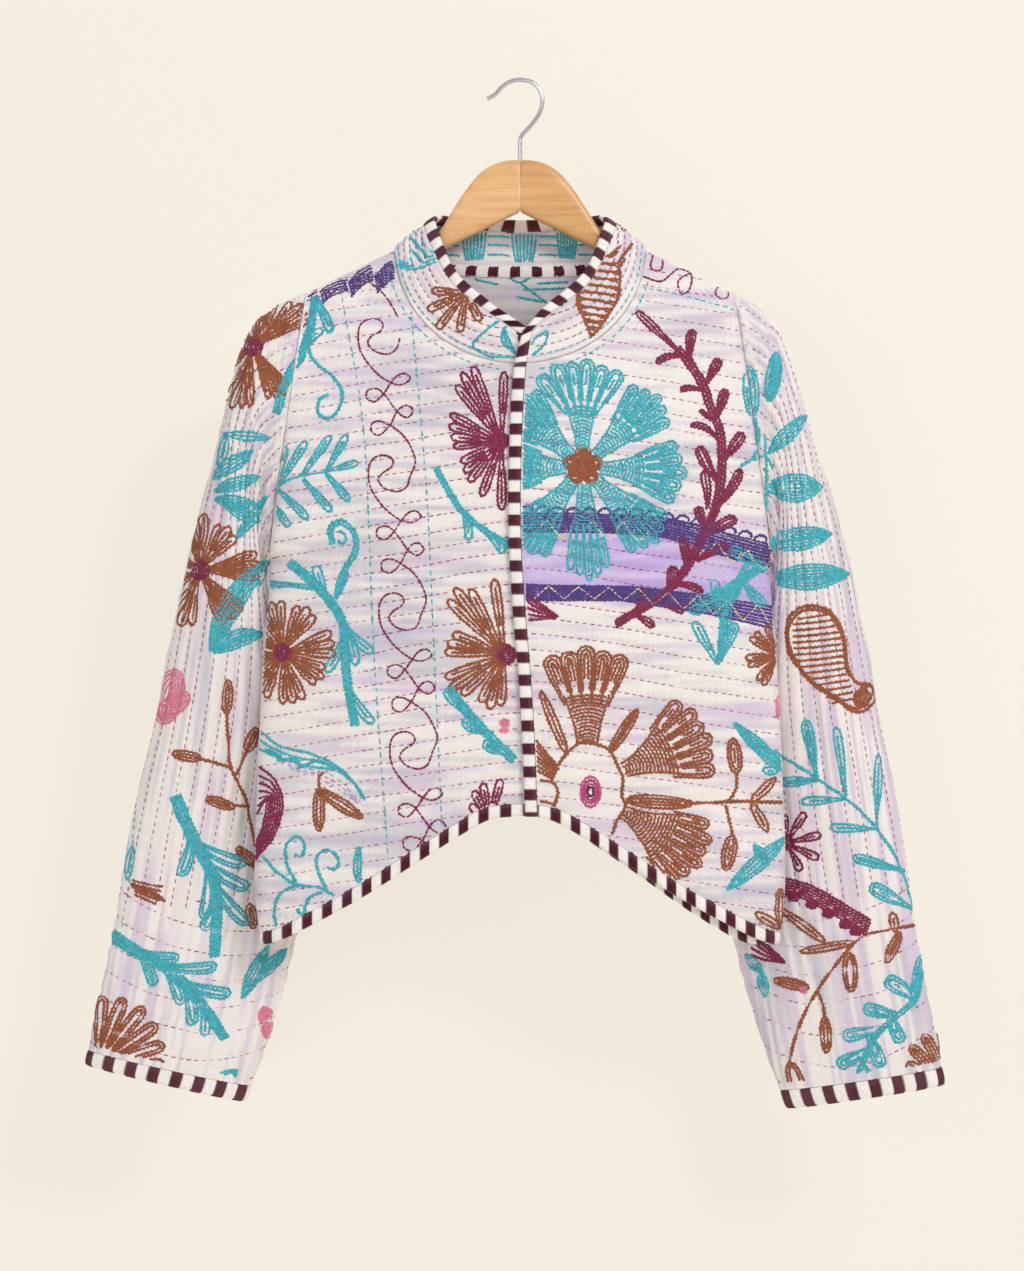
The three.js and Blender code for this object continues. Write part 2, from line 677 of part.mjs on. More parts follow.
const collarHeight = (q) => collarPoint(q, 0).distanceTo(collarPoint(q, 1));
// The place round the collar of a neck seam x
function placeOfX(face, side, x) {
  if (face === "back") return (side * collar.neckPoint * 2 * Math.asin(x / neck.halfWidth)) / Math.PI;
  const end = frontInnerX(side, -229);
  const t = (2 * Math.acos((x - end) / (neck.halfWidth - end))) / Math.PI;
  return side * (collar.neckPoint + (1 - collar.neckPoint) * t);
}
// The wall's places round one half, from the middle of the back to the wall's front end
function collarPlaces(side) {
  const corner = frontInnerX(side, frontNeckZ(0)) + boundDepth;
  return [
    ...neckStations("back", side).reverse().map((x) => placeOfX("back", side, x)),
    side * collar.neckPoint,
    ...neckStations("front", side).map((x) => placeOfX("front", side, x)),
    placeOfX("front", side, corner),
  ];
}
const wallPlaces = [...collarPlaces(-1).reverse(), 0, ...collarPlaces(1)];
const seamLift = 0.45;
function collarPair(q, up) {
  const p = collarPoint(q, up);
  const n = up < 0.1 ? neckNormal(q) : collarNormal(q, up);
  return { outer: p, inner: p.clone().addScaledVector(n, -cloth.wall) };
}
function collarBand() {
  const shell = new Shell();
  const qs = wallPlaces;
  const points = Array.from({ length: collar.rows + 1 }, (_, i) =>
    qs.map((q) => {
      const height = collarHeight(q);
      const low = seamLift / height;
      const high = 1 - boundDepth / height;
      return collarPair(q, high + ((low - high) * i) / collar.rows);
    }),
  );
  const outer = points.map((line) => line.map((p) => shell.add(p.outer)));
  const inner = points.map((line) => line.map((p) => shell.add(p.inner)));
  shell.grid(outer, true, false);
  shell.grid(inner, false, false);
  const last = outer.length - 1;
  const end = qs.length - 1;
  const numbered = (ids) => ids.map((id, t) => ({ id, t }));
  const column = (ids, j) => numbered(ids.map((line) => line[j]));
  const back = (list) => list.map((p) => ({ id: p.id, t: -p.t })).reverse();
  shell.rim(numbered(outer[0]), numbered(inner[0]), true);
  shell.rim(column(outer, end), column(inner, end), true);
  shell.rim(back(numbered(outer[last])), back(numbered(inner[last])), true);
  shell.rim(back(column(outer, 0)), back(column(inner, 0)), true);
  return shell.geometry();
}

// A bound edge: a strip that carries the wall on to the edge, a little proud of it on both faces.
// Stations are { a, b, n }: points of the outer face at the wall's side and at the edge, and the normal.
function boundStrip(stations, closed) {
  const shell = new Shell();
  const { proud, taper } = strip;
  const rings = stations.map(({ a, b, n }) => {
    const soft = b.clone().lerp(a, taper);
    return [
      a.clone().addScaledVector(n, proud),
      soft.clone().addScaledVector(n, proud),
      b.clone().addScaledVector(n, -cloth.wall / 2),
      soft.clone().addScaledVector(n, -cloth.wall - proud),
      a.clone().addScaledVector(n, -cloth.wall - proud),
    ].map((p) => shell.add(p));
  });
  shell.grid(closed ? [...rings, rings[0]] : rings, false, true);
  if (!closed) {
    shell.cap(rings[0], false);
    shell.cap(rings[rings.length - 1], true);
  }
  return facingOut(shell.geometry());
}
// Turns a closed mesh's faces to point out
function facingOut(geometry) {
  const p = geometry.attributes.position;
  const index = geometry.index.array;
  const [a, b, c] = [vec(0, 0, 0), vec(0, 0, 0), vec(0, 0, 0)];
  let volume = 0;
  for (let i = 0; i < index.length; i += 3) {
    a.fromBufferAttribute(p, index[i]);
    b.fromBufferAttribute(p, index[i + 1]);
    c.fromBufferAttribute(p, index[i + 2]);
    volume += a.dot(b.cross(c));
  }
  if (volume < 0) geometry.setIndex(Array.from(index).reverse());
  return geometry;
}

function frontEdgeStrip(side) {
  const rows = panelRows("front", side).filter((r) => r.part === "edge");
  const stations = rows.map((row, i) => {
    const station = (reach) => {
      const x = row.left - boundDepth + reach;
      if (i === 0) return onBody("front", side, x, frontNeckZ(x) - 0.5);
      if (i + 1 === rows.length) return onBody("front", side, x, hemZ("front", side, Math.abs(x)));
      return onBody("front", side, x, row.z(row.left));
    };
    const [a, b] = [station(strip.width - 0.2), station(0)];
    return { a: a.p, b: b.p, n: a.n };
  });
  return boundStrip(stations, false);
}
// Stations down one half of a hem, out to the side seam, at the wall's own points along it
function hemStations(face, side, from) {
  const rows = panelRows(face, side).filter((r) => r.part === "hem" && r.left > from + 4);
  const final = rows[rows.length - 1];
  const places = [from, ...rows.map((r) => r.left)];
  columnShares.slice(1, -1).forEach((c) => places.push(final.left + (final.right - final.left) * c));
  const stations = places.map((x) => {
    const foot = hemZ(face, side, x);
    const a = onBody(face, side, x, foot + hemRise(x) - cloth.seamGap);
    const b = onBody(face, side, x, foot);
    return { a: a.p, b: b.p, n: a.n };
  });
  const atSide = (z) => {
    const p = bodyPoint(face, side, 1, z);
    p.y += (face === "front" ? -0.5 : 0.5) * cloth.seamGap;
    return p;
  };
  const foot = hemZ(face, side, final.right);
  const head = foot + hemRise(final.right) - cloth.seamGap;
  stations.push({ a: atSide(head), b: atSide(foot), n: vec(side, 0, 0) });
  return stations;
}
function frontHemStrip(side) {
  return boundStrip(hemStations("front", side, frontInnerX(side, -585) + boundDepth + 0.3), false);
}
function backHemStrip() {
  const [right, left] = [hemStations("back", -1, 0), hemStations("back", 1, 0)];
  return boundStrip([...right.slice(1).reverse(), ...left], false);
}
function cuffStrip(rows, side) {
  const wallSide = sleeveSection(rows, cuffShare(rows, strip.width));
  const edge = sleeveSection(rows, 1);
  const stations = evenTurns(edge, 2 * sleeveGrid.lines).map((turn) => {
    const a = sectionPoint(wallSide, turn, 0);
    const b = sectionPoint(edge, turn, 0);
    const n = b.clone().sub(sectionPoint(edge, turn, 1)).normalize();
    [a, b, n].forEach((v) => v.setX(side * v.x));
    return { a, b, n };
  });
  return boundStrip(stations, true);
}
// Round the collar: up its left front end, along its top edge, and down the right front end
function collarStrip() {
  const ends = (side) => {
    const wallEnd = wallPlaces[side === 1 ? wallPlaces.length - 1 : 0];
    const high = 1 - boundDepth / collarHeight(wallEnd);
    return [0.06, 0.5].map((share) => ({
      a: [wallEnd + 0.03 * (side - wallEnd), high * share],
      b: [side, share],
    }));
  };
  const last = wallPlaces.length - 1;
  const along = wallPlaces.map((q, i) => ({
    a: [q, 1 - strip.width / collarHeight(q)],
    b: [i === 0 || i === last ? Math.sign(q) : q, 1],
  }));
  const stations = [...ends(-1), ...along, ...ends(1).reverse()].map(({ a, b }) => ({
    a: collarPoint(...a),
    b: collarPoint(...b),
    n: collarNormal(a[0], a[1]),
  }));
  return boundStrip(stations, false);
}
// A flat strip over the neck seam, inside the back
function neckStrip() {
  const shell = new Shell();
  const reach = 0.31;
  const count = 16;
  const half = strip.width / 2;
  const near = cloth.wall + cloth.seamGap;
  const rings = Array.from({ length: count + 1 }, (_, i) => {
    const q = -reach + (2 * reach * i) / count;
    const side = q < 0 ? -1 : 1;
    const seam = neckSeam(q);
    const above = collarPoint(q, 0.25).sub(seam).normalize();
    const z = seam.z - half;
    const share = (side * seam.x) / sideX(z);
    const below = bodyPoint("back", side, share, z).sub(seam).normalize();
    const upN = collarNormal(q, 0.1);
    const downN = bodyNormal("back", side, share, z, null);
    const midN = upN.clone().add(downN).normalize();
    const layer = (depth) => [
      seam.clone().addScaledVector(above, half).addScaledVector(upN, -depth),
      seam.clone().addScaledVector(midN, -depth),
      seam.clone().addScaledVector(below, half).addScaledVector(downN, -depth),
    ];
    return [...layer(near), ...layer(near + 2 * strip.proud).reverse()].map((p) => shell.add(p));
  });
  shell.grid(rings, false, true);
  shell.cap(rings[0], false);
  shell.cap(rings[count], true);
  return facingOut(shell.geometry());
}

// The hanger
const crownTop = curveOf(crown, "x", "top");
const crownBottom = curveOf(crown, "x", "bottom");
function woodEdges(x) {
  const under = crown[crown.length - 1];
  if (x <= under.x) return { top: crownTop(x), bottom: crownBottom(x) };
  const top = ridgeZ(x) - wood.clear - wood.tipDrop * smooth((x - 140) / 40);
  const run = (x - under.x) / (wood.tipX - under.x);
  return { top, bottom: top - (under.top - under.bottom) * (1 - 0.12 * run) };
}
function hangerArm(side) {
  const shell = new Shell();
  const joint = 0.15;
  const stations = [joint, 6, 14, 22, 30, 38, 46, 55, 66, 82, 101, 125, 150, 166, 174, 179, wood.tipX];
  const around = 12;
  const rings = stations.map((x) => {
    const { top, bottom } = woodEdges(x);
    const rounding = Math.sqrt(clamp((wood.tipX + 1.5 - x) / 9, 0.03, 1));
    const high = ((top - bottom) / 2) * rounding;
    const thin = smooth((x - 45) / 40);
    const thick = (wood.halfThick + (wood.tipHalfThick - wood.halfThick) * thin) * rounding;
    const power = wood.power - 1 * thin;
    return Array.from({ length: around }, (_, k) => {
      const a = ((k + 0.5) / around) * 2 * Math.PI;
      const c = Math.cos(a);
      const s = Math.sin(a);
      const y = Math.sign(c) * Math.abs(c) ** (2 / power) * thick;
      const z = (top + bottom) / 2 + Math.sign(s) * Math.abs(s) ** (2 / power) * high;
      return shell.add(vec(side * x, y, z));
    });
  });
  shell.grid(rings, false, true);
  shell.cap(rings[0], false);
  shell.cap(rings[rings.length - 1], true);
  return drilled(facingOut(shell.geometry()));
}
// The hole in the top of the crown that the hook's stem stands in, shared by the two arms
function drilled(geometry) {
  const drill = new THREE.CylinderGeometry(hook.hole, hook.hole, hook.holeDepth * 2, 12);
  drill.rotateX(Math.PI / 2).translate(0, 0, crown[0].top);
  return fromSolid(toSolid(geometry).subtract(toSolid(drill)));
}
function toSolid(geometry) {
  const bare = new THREE.BufferGeometry()
    .setAttribute("position", geometry.attributes.position)
    .setIndex(geometry.index);
  const merged = mergeVertices(bare, 1e-3);
  return new wasm.Manifold(
    new wasm.Mesh({
      numProp: 3,
      vertProperties: merged.attributes.position.array,
      triVerts: new Uint32Array(merged.index.array),
    }),
  );
}
function fromSolid(solid) {
  const m = solid.getMesh();
  return new THREE.BufferGeometry()
    .setAttribute("position", new THREE.BufferAttribute(new Float32Array(m.vertProperties), 3))
    .setIndex(Array.from(m.triVerts));
}
function hookWire() {
  const shell = new Shell();
  const path = new THREE.CatmullRomCurve3(
    hookLine.map((p) => vec(p.x, 0, p.z)),
    false,
    "centripetal",
  );
  const rings = [];
  for (let i = 0; i <= hook.steps; i += 1) {
    const t = i / hook.steps;
    const p = path.getPointAt(t);
    const run = path.getTangentAt(t);
    const side = vec(0, 1, 0);
    const across = run.clone().cross(side).normalize();
    const end = i === hook.steps ? 0.55 : 1;
    rings.push(
      Array.from({ length: hook.sides }, (_, k) => {
        const a = (k / hook.sides) * 2 * Math.PI;
        return shell.add(
          p
            .clone()
            .addScaledVector(side, Math.cos(a) * hook.radius * end)
            .addScaledVector(across, Math.sin(a) * hook.radius * end),
        );
      }),
    );
  }
  shell.grid(rings, false, true);
  shell.cap(rings[0], false);
  shell.cap(rings[hook.steps], true);
  return facingOut(shell.geometry());
}

// The whole object
const group = new THREE.Group();
function addPiece(name, geometry, color, roughness, metalness = 0) {
  const mesh = new THREE.Mesh(geometry, new THREE.MeshStandardMaterial({ color, roughness, metalness }));
  mesh.name = name;
  group.add(mesh);
}
const pieces = [
  ["front_right", frontPanel(-1), colours.cloth],
  ["front_left", frontPanel(1), colours.cloth],
  ["back", backPanel(), colours.cloth],
  ["sleeve_right", sleeve(sleeveLeftSide, -1), colours.cloth],
  ["sleeve_left", sleeve(sleeveRightSide, 1), colours.cloth],
  ["collar", collarBand(), colours.cloth],
  ["binding_front_right", frontEdgeStrip(-1), colours.binding],
  ["binding_front_left", frontEdgeStrip(1), colours.binding],
  ["binding_hem_right", frontHemStrip(-1), colours.binding],
  ["binding_hem_left", frontHemStrip(1), colours.binding],
  ["binding_hem_back", backHemStrip(), colours.binding],
  ["binding_collar", collarStrip(), colours.binding],
  ["binding_neck_inside", neckStrip(), colours.binding],
  ["binding_cuff_right", cuffStrip(sleeveLeftSide, -1), colours.binding],
  ["binding_cuff_left", cuffStrip(sleeveRightSide, 1), colours.binding],
];
pieces.forEach(([name, geometry, color]) => addPiece(name, geometry, color, 0.9));
addPiece("hanger_arm_right", hangerArm(-1), colours.wood, 0.45);
addPiece("hanger_arm_left", hangerArm(1), colours.wood, 0.45);
addPiece("hanger_hook", hookWire(), colours.steel, 0.25, 1);

export default group;
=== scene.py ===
import math

import bpy
import numpy as np
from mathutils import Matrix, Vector


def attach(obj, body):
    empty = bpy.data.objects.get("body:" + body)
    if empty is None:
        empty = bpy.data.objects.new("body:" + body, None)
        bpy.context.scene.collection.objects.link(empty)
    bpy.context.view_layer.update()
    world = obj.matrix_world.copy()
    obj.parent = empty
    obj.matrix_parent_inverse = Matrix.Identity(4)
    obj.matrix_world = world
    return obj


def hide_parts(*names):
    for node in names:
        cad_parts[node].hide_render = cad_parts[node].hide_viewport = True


# A quilted kantha jacket on a hanger. Sizes are in millimetres until a mesh is made.
# The jacket's front faces -Y, +X is the wearer's left, and the origin is under the hook's crown.
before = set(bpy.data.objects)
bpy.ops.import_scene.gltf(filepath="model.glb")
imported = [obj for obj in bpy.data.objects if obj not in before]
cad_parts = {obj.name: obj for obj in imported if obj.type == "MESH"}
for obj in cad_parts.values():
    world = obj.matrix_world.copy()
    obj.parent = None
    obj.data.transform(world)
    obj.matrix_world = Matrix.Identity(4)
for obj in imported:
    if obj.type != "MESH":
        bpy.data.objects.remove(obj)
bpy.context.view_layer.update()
rng = np.random.default_rng(7)
mm = 0.001

eye = {"x": -6.4, "z": -442.8, "distance": 2400, "frameWide": 1016.8, "sensor": 36}
cloth = {"wall": 2.4, "boundDepth": 9.8, "offWhite": "EAE3DE", "lilac": "CDBBD2", "grey": "B9B7C2"}
quilting = {"pitch": 12.6, "rise": 1.35, "tilt": 0.165, "bow": 25, "valley": 2.3, "pucker": 0.6}
neck = {"halfWidth": 100, "z": -134.4, "frontDrop": 94, "backDrop": 15, "seamEnd": -229}
shoulder = {"slope": 0.49, "tipX": 170, "tipZ": -168.7, "roll": 11, "reach": 110}
armhole = {"bottomX": 200.2, "bottomZ": -382, "halfDepth": 24, "power": 2.8}
bodyDepth = {"front": 44, "back": 50, "frontPower": 3.2, "backPower": 2.0}
overlap = {"reach": 15, "step": 5.4, "flat": 16, "fade": 70}

# Side edge (z, x), hem (x, z), how far the back hangs lower (x, drop), edge of the upper front (z, x)
sideTable = [(-690, 205.5), (-655, 210), (-622, 211), (-575, 209.5), (-495, 206), (-446, 203), (-415, 201),
             (-382, 200.2)]
hemTable = [(0, -584.5), (24, -587.5), (45, -598.5), (80, -620.5), (124, -648.5), (160, -668.5),
            (190, -683.5), (212, -689)]
hemMiddle = -585  # where the front edges end
backDropTable = [(-150, 2), (0, 4), (90, 6), (160, 11), (185, 9), (206, 0)]
frontEdgeTable = [(-600, 4.5), (-523, 1.5), (-472, -1.5), (-426, -5.5), (-366, -9), (-310, -9), (-242, -6),
                  (-200, -1)]
# Soft folds in the body: side, x, z, length, width, depth
frontFolds = [(1, 112, -455, 70, 24, 3.5), (1, 70, -570, 80, 24, 3.5), (-1, 150, -600, 90, 30, 3),
              (-1, 62, -420, 120, 30, 2)]
backFolds = [(1, 95, -500, 130, 32, 4), (-1, 75, -560, 110, 30, 4), (-1, 140, -430, 100, 30, 3.5)]

# Sleeve sections from armhole to cuff: outer x, z, inner x, z, outer y, inner y, half depth
sleeveTables = {
    -1: [(170, -168.7, 200.2, -382, 0, 0, 24), (183, -174.4, 203, -388, 0, 4, 26),
         (201.6, -185.6, 204.5, -394, 1, 10, 29), (214.4, -200, 205, -401, 2, 17, 34),
         (227, -232, 203, -414, 4, 29, 40), (243, -296, 193, -439, 6, 45, 44),
         (262, -372, 181.5, -479, 8, 54, 43), (284, -474, 174, -548, 9, 56, 36),
         (308, -586, 176, -634, 8, 51, 28), (328, -692, 189, -715, 5, 40, 21),
         (347.5, -785.5, 221.5, -818.5, 0, 22, 14)],
    1: [(170, -168.7, 200.2, -382, 0, 0, 24), (180, -174.4, 203, -388, 0, 4, 26),
        (196, -185.6, 204.5, -394, 1, 10, 29), (207.5, -200, 205, -401, 2, 17, 34),
        (219, -232, 203, -414, 4, 29, 40), (238, -296, 193, -439, 6, 45, 44),
        (259.5, -372, 181.5, -479, 8, 54, 43), (281, -474, 173, -548, 9, 56, 36),
        (302, -586, 171, -624, 8, 51, 28), (319, -690, 178.5, -706, 5, 40, 21),
        (339.5, -801.5, 215, -824, 0, 22, 14)],
}
sleeve = {"power": 2.3, "seamStep": 0.42, "lines": 28, "length": 600, "crossFrom": 0.84, "cuff": 0.0118}
# Lengthwise folds: place round the section, width, depth, from, to
sleeveFolds = [(0.34, 0.045, 4.5, 0.12, 0.62), (0.2, 0.05, 3, 0.3, 0.85), (0.68, 0.05, 4, 0.15, 0.7),
               (0.84, 0.05, 3, 0.35, 0.9)]
# The collar's free edge, for one half: place round the neck, x, y, z
collarTable = [(0, 0, 26, -107), (0.2, 30, 24.5, -107), (0.36, 52, 17, -106), (0.46, 65, 8, -105.5),
               (0.52, 68, -2, -109), (0.58, 66.5, -10, -117), (0.65, 62.5, -18, -129),
               (0.73, 57, -25.5, -144), (0.8, 49, -31, -157.5), (0.87, 36, -34.5, -170),
               (0.94, 19, -36.5, -184), (1, 2, -37.5, -204)]
collarBulge = 2.5


# Small maths, all of it on whole arrays
def smooth(t):
    c = np.clip(t, 0, 1)
    return c * c * (3 - 2 * c)


def curveOf(places, values):
    places, values = np.array(places, float), np.array(values, float)
    last = len(places) - 1
    low = np.maximum(np.arange(last + 1) - 1, 0)
    high = np.minimum(np.arange(last + 1) + 1, last)
    slopes = (values[high] - values[low]) / (places[high] - places[low])

    def curve(at):
        c = np.clip(np.asarray(at, float), places[0], places[-1])
        k = np.clip(np.searchsorted(places, c, side="right") - 1, 0, last - 1)
        h = places[k + 1] - places[k]
        t = (c - places[k]) / h
        rest = 1 - t
        return (values[k] * (1 + 2 * t) * rest * rest + values[k + 1] * t * t * (3 - 2 * t)
                + h * t * rest * (slopes[k] * rest - slopes[k + 1] * t))

    return curve


def columnCurve(table, column):
    return curveOf([row[0] for row in table], [row[column] for row in table])


noiseTable = rng.random((64, 64)) * 2 - 1


def noise(u, v):
    i, j = np.floor(u).astype(int), np.floor(v).astype(int)
    a, b = u - i, v - j
    a, b = a * a * (3 - 2 * a), b * b * (3 - 2 * b)
    i, j = i % 64, j % 64
    k, m = (i + 1) % 64, (j + 1) % 64
    low = noiseTable[i, j] * (1 - a) + noiseTable[k, j] * a
    high = noiseTable[i, m] * (1 - a) + noiseTable[k, m] * a
    return low * (1 - b) + high * b


def lengthsAlong(line):
    return np.concatenate([[0], np.cumsum(np.linalg.norm(np.diff(line, axis=0), axis=1))])


def along(size, values, at):
    return np.stack([np.interp(at, size, values[:, k]) for k in range(values.shape[1])], -1)


def unit(v):
    return v / np.maximum(np.linalg.norm(v, axis=-1, keepdims=True), 1e-9)


def colour(code):
    parts = np.array([int(code[i:i + 2], 16) / 255 for i in (0, 2, 4)])
    return np.where(parts <= 0.04045, parts / 12.92, ((parts + 0.055) / 1.055) ** 2.4)


# The body's form
sideBelow = columnCurve(sideTable, 1)
hemFront = columnCurve(hemTable, 1)
hemDrop = columnCurve(backDropTable, 1)
edgeX = columnCurve(frontEdgeTable, 1)


def sideX(z):
    z = np.asarray(z, float)
    run = (armhole["bottomX"] - shoulder["tipX"]) / (shoulder["tipZ"] - armhole["bottomZ"])
    return np.where(z < armhole["bottomZ"], sideBelow(z), shoulder["tipX"] + (shoulder["tipZ"] - z) * run)


def ridgeZ(x):
    return neck["z"] - shoulder["slope"] * (np.abs(x) - neck["halfWidth"])


def neckZ(face, x):
    share = np.minimum(np.abs(x / neck["halfWidth"]), 1)
    if face == "front":
        return neck["z"] - neck["frontDrop"] * np.sqrt(1 - share ** 2)
    return neck["z"] - neck["backDrop"] * np.sqrt(1 - share ** 3)


def hemZ(face, side, x):
    return hemFront(np.abs(x)) - (hemDrop(side * x) if face == "back" else 0)


def hemRise(x):
    slope = (hemFront(x + 2) - hemFront(np.maximum(0, x - 2))) / 4
    return cloth["boundDepth"] * np.hypot(1, slope)


def frontInnerX(side, z):
    return edgeX(z) if side == 1 else -(edgeX(z) + overlap["reach"])


def grain(x, z):
    return z + quilting["tilt"] * (np.hypot(x, quilting["bow"]) - quilting["bow"])


def bodyPoint(face, side, x, z):
    # x is measured out from the middle
    outward = -1 if face == "front" else 1
    power = bodyDepth[face + "Power"]
    share = x / sideX(z)
    cosine = 1 / math.hypot(1, shoulder["slope"])
    drop = np.maximum(0, (ridgeZ(x) - z) * cosine)
    rollShare = 1 - np.minimum(drop, shoulder["roll"]) / shoulder["roll"]
    roll = shoulder["roll"] * np.sqrt(1 - rollShare ** 2)
    opening = 1 - np.exp(-np.maximum(0, drop - shoulder["roll"]) / shoulder["reach"])
    middle = roll + (bodyDepth[face] - shoulder["roll"]) * opening
    swell = (1 - np.minimum(1, np.abs(share)) ** power) ** (1 / power)
    t = np.clip(2 * (shoulder["tipZ"] - z) / (shoulder["tipZ"] - armhole["bottomZ"]) - 1, -1, 1)
    eye = armhole["halfDepth"] * (1 - np.abs(t) ** armhole["power"]) ** (1 / armhole["power"])
    edge = np.where(z < armhole["bottomZ"], -15 * smooth((armhole["bottomZ"] - z) / 80), outward * eye)
    y = edge + (outward * middle - edge) * swell
    kept = roll * smooth((1 - np.abs(share)) / 0.07)
    near = smooth(1 - drop / 60) * (z > armhole["bottomZ"])
    y = y + outward * near * (np.hypot(y, kept) - np.abs(y))
    folds = frontFolds if face == "front" else backFolds
    fold = sum((side == own) * deep * np.exp(-((x - atX) / wide) ** 2 - ((z - atZ) / long) ** 2)
               for own, atX, atZ, long, wide, deep in folds)
    y = y - outward * fold * smooth(x / 30) * swell
    if face == "front":
        y = y - (side == 1) * overlap["step"] * (1 - smooth((x - overlap["flat"]) / overlap["fade"]))
    return np.stack([side * x + 0 * y, y, z + 0 * y], -1)


def bodyNormal(face, side, x, z):
    edge = sideX(z)
    across = bodyPoint(face, side, np.minimum(x + 0.6, edge), z) - bodyPoint(face, side, x - 0.6, z)
    up = bodyPoint(face, side, x, z + 0.4) - bodyPoint(face, side, x, z - 0.4)
    n = unit(np.cross(across, up))
    outward = -1 if face == "front" else 1
    return np.where(n[..., 1:2] * outward < 0, -n, n)


# Quilting: puffs between the rows of running stitch, with the small puckers that they pull in
def puffed(phase, u, v):
    off = np.abs(phase - np.round(phase)) * quilting["pitch"]
    puff = 1 - np.exp(-(off / quilting["valley"]) ** 2)
    pucker = noise(u / 4.3, v / 11) * 0.6 + noise(u / 2.4 + 9, v / 6) * 0.4
    return quilting["rise"] * puff + quilting["pucker"] * pucker * (0.35 + puff) + 1.1 * noise(u / 30,
                                                                                               v / 34 + 5)


def bodyPhase(x, z):
    return (grain(x, z) + 1.1 * noise(x / 42 + 3, z / 33)) / quilting["pitch"]


def bodySurface(face, side, inside=False):
    # Gives the quilted surface's points and normals for signed x and z
    def surface(x, z):
        own = np.where(x < 0, -1, 1) if face == "back" else side
        out = own * x
        p, n = bodyPoint(face, own, out, z), bodyNormal(face, own, out, z)
        if inside:
            return p - n * cloth["wall"], -n
        hem = hemZ(face, own, out) + hemRise(np.abs(out))
        room = np.minimum.reduce([(sideX(z) - out) / 7, (ridgeZ(out) - z) / 7, (z - hem) / 7])
        if face == "front":
            room = np.minimum(room, (out - frontInnerX(side, z) - cloth["boundDepth"]) / 7)
        rise = puffed(bodyPhase(np.abs(x), z), x + 300, z) * smooth(room)
        return p + n * rise[..., None], n
    return surface


# Sleeves
sleeveCurves = {side: [curveOf(range(11), [row[k] for row in rows]) for k in range(7)]
                for side, rows in sleeveTables.items()}


def sleeveSection(side, along):
    outX, outZ, inX, inZ, outY, inY, half = [curve(np.asarray(along) * 10) for curve in sleeveCurves[side]]
    out, inner = np.stack([outX, outY, outZ], -1), np.stack([inX, inY, inZ], -1)
    reach = (out - inner) / 2
    line = unit(reach)
    back = unit(np.array([0.0, 1, 0]) - line * line[..., 1:2])
    return (out + inner) / 2, reach, back, half


def armholeNormal():
    return unit(np.array([shoulder["tipZ"] - armhole["bottomZ"], 0, armhole["bottomX"] - shoulder["tipX"]]))


def sectionPoint(side, turn, along, inset):
    centre, reach, back, half = sleeveSection(side, along)
    c, s = np.cos(turn * 2 * np.pi), np.sin(turn * 2 * np.pi)
    e = 2 / sleeve["power"]
    out = np.sign(c) * np.abs(c) ** e * (1 - inset / np.linalg.norm(reach, axis=-1))
    depth = -np.sign(s) * np.abs(s) ** e * (half - inset)
    p = centre + reach * out[..., None] + back * depth[..., None]
    pull = sleeve["seamStep"] * (1 - smooth(np.asarray(along) / 0.05))
    return p + armholeNormal() * pull[..., None]


def roundTables(side):
    # Turn against share of the way round, for even steps round each section
    alongs, turns = np.linspace(0, 1, 41), np.linspace(0, 1, 361)
    points = sectionPoint(side, turns[None, :] + 0 * alongs[:, None], alongs[:, None] + 0 * turns[None, :], 0)
    steps = np.linalg.norm(np.diff(points, axis=1), axis=-1)
    lengths = np.concatenate([np.zeros((41, 1)), np.cumsum(steps, 1)], 1)
    shares = lengths / lengths[:, -1:]
    even = np.array([np.interp(np.linspace(0, 1, 361), s, turns) for s in shares])
    return even, shares, lengths[:, -1]


sleeveRounds = {side: roundTables(side) for side in (-1, 1)}


def inTable(table, along, place):
    a, b = np.clip(np.asarray(along), 0, 1) * 40, np.clip(np.asarray(place), 0, 1) * 360
    i, j = np.minimum(a.astype(int), 39), np.minimum(b.astype(int), 359)
    s, t = a - i, b - j
    low = table[i, j] * (1 - t) + table[i, j + 1] * t
    high = table[i + 1, j] * (1 - t) + table[i + 1, j + 1] * t
    return low * (1 - s) + high * s


def sleeveFold(share, along):
    deep = 0
    for at, width, depth, start, end in sleeveFolds:
        window = smooth((along - start) / 0.12) * smooth((end - along) / 0.12)
        deep = deep + depth * np.exp(-((share - at) / width) ** 2) * window
    return deep


def sleevePlain(side, share, along, lift=0):
    share = share % 1.0
    turn = inTable(sleeveRounds[side][0], along, share)
    return sectionPoint(side, turn, along, sleeveFold(share, along) - lift)


def sleevePhases(share, along):
    wobble = 0.09 * noise(share * 9 + 1, along * 14)
    arch = 0.9 * np.cos((share * 2 % 1.0 - 0.5) * np.pi)
    rows = (1 - along) * sleeve["length"] / quilting["pitch"]
    return share * sleeve["lines"] + wobble, rows + arch + wobble


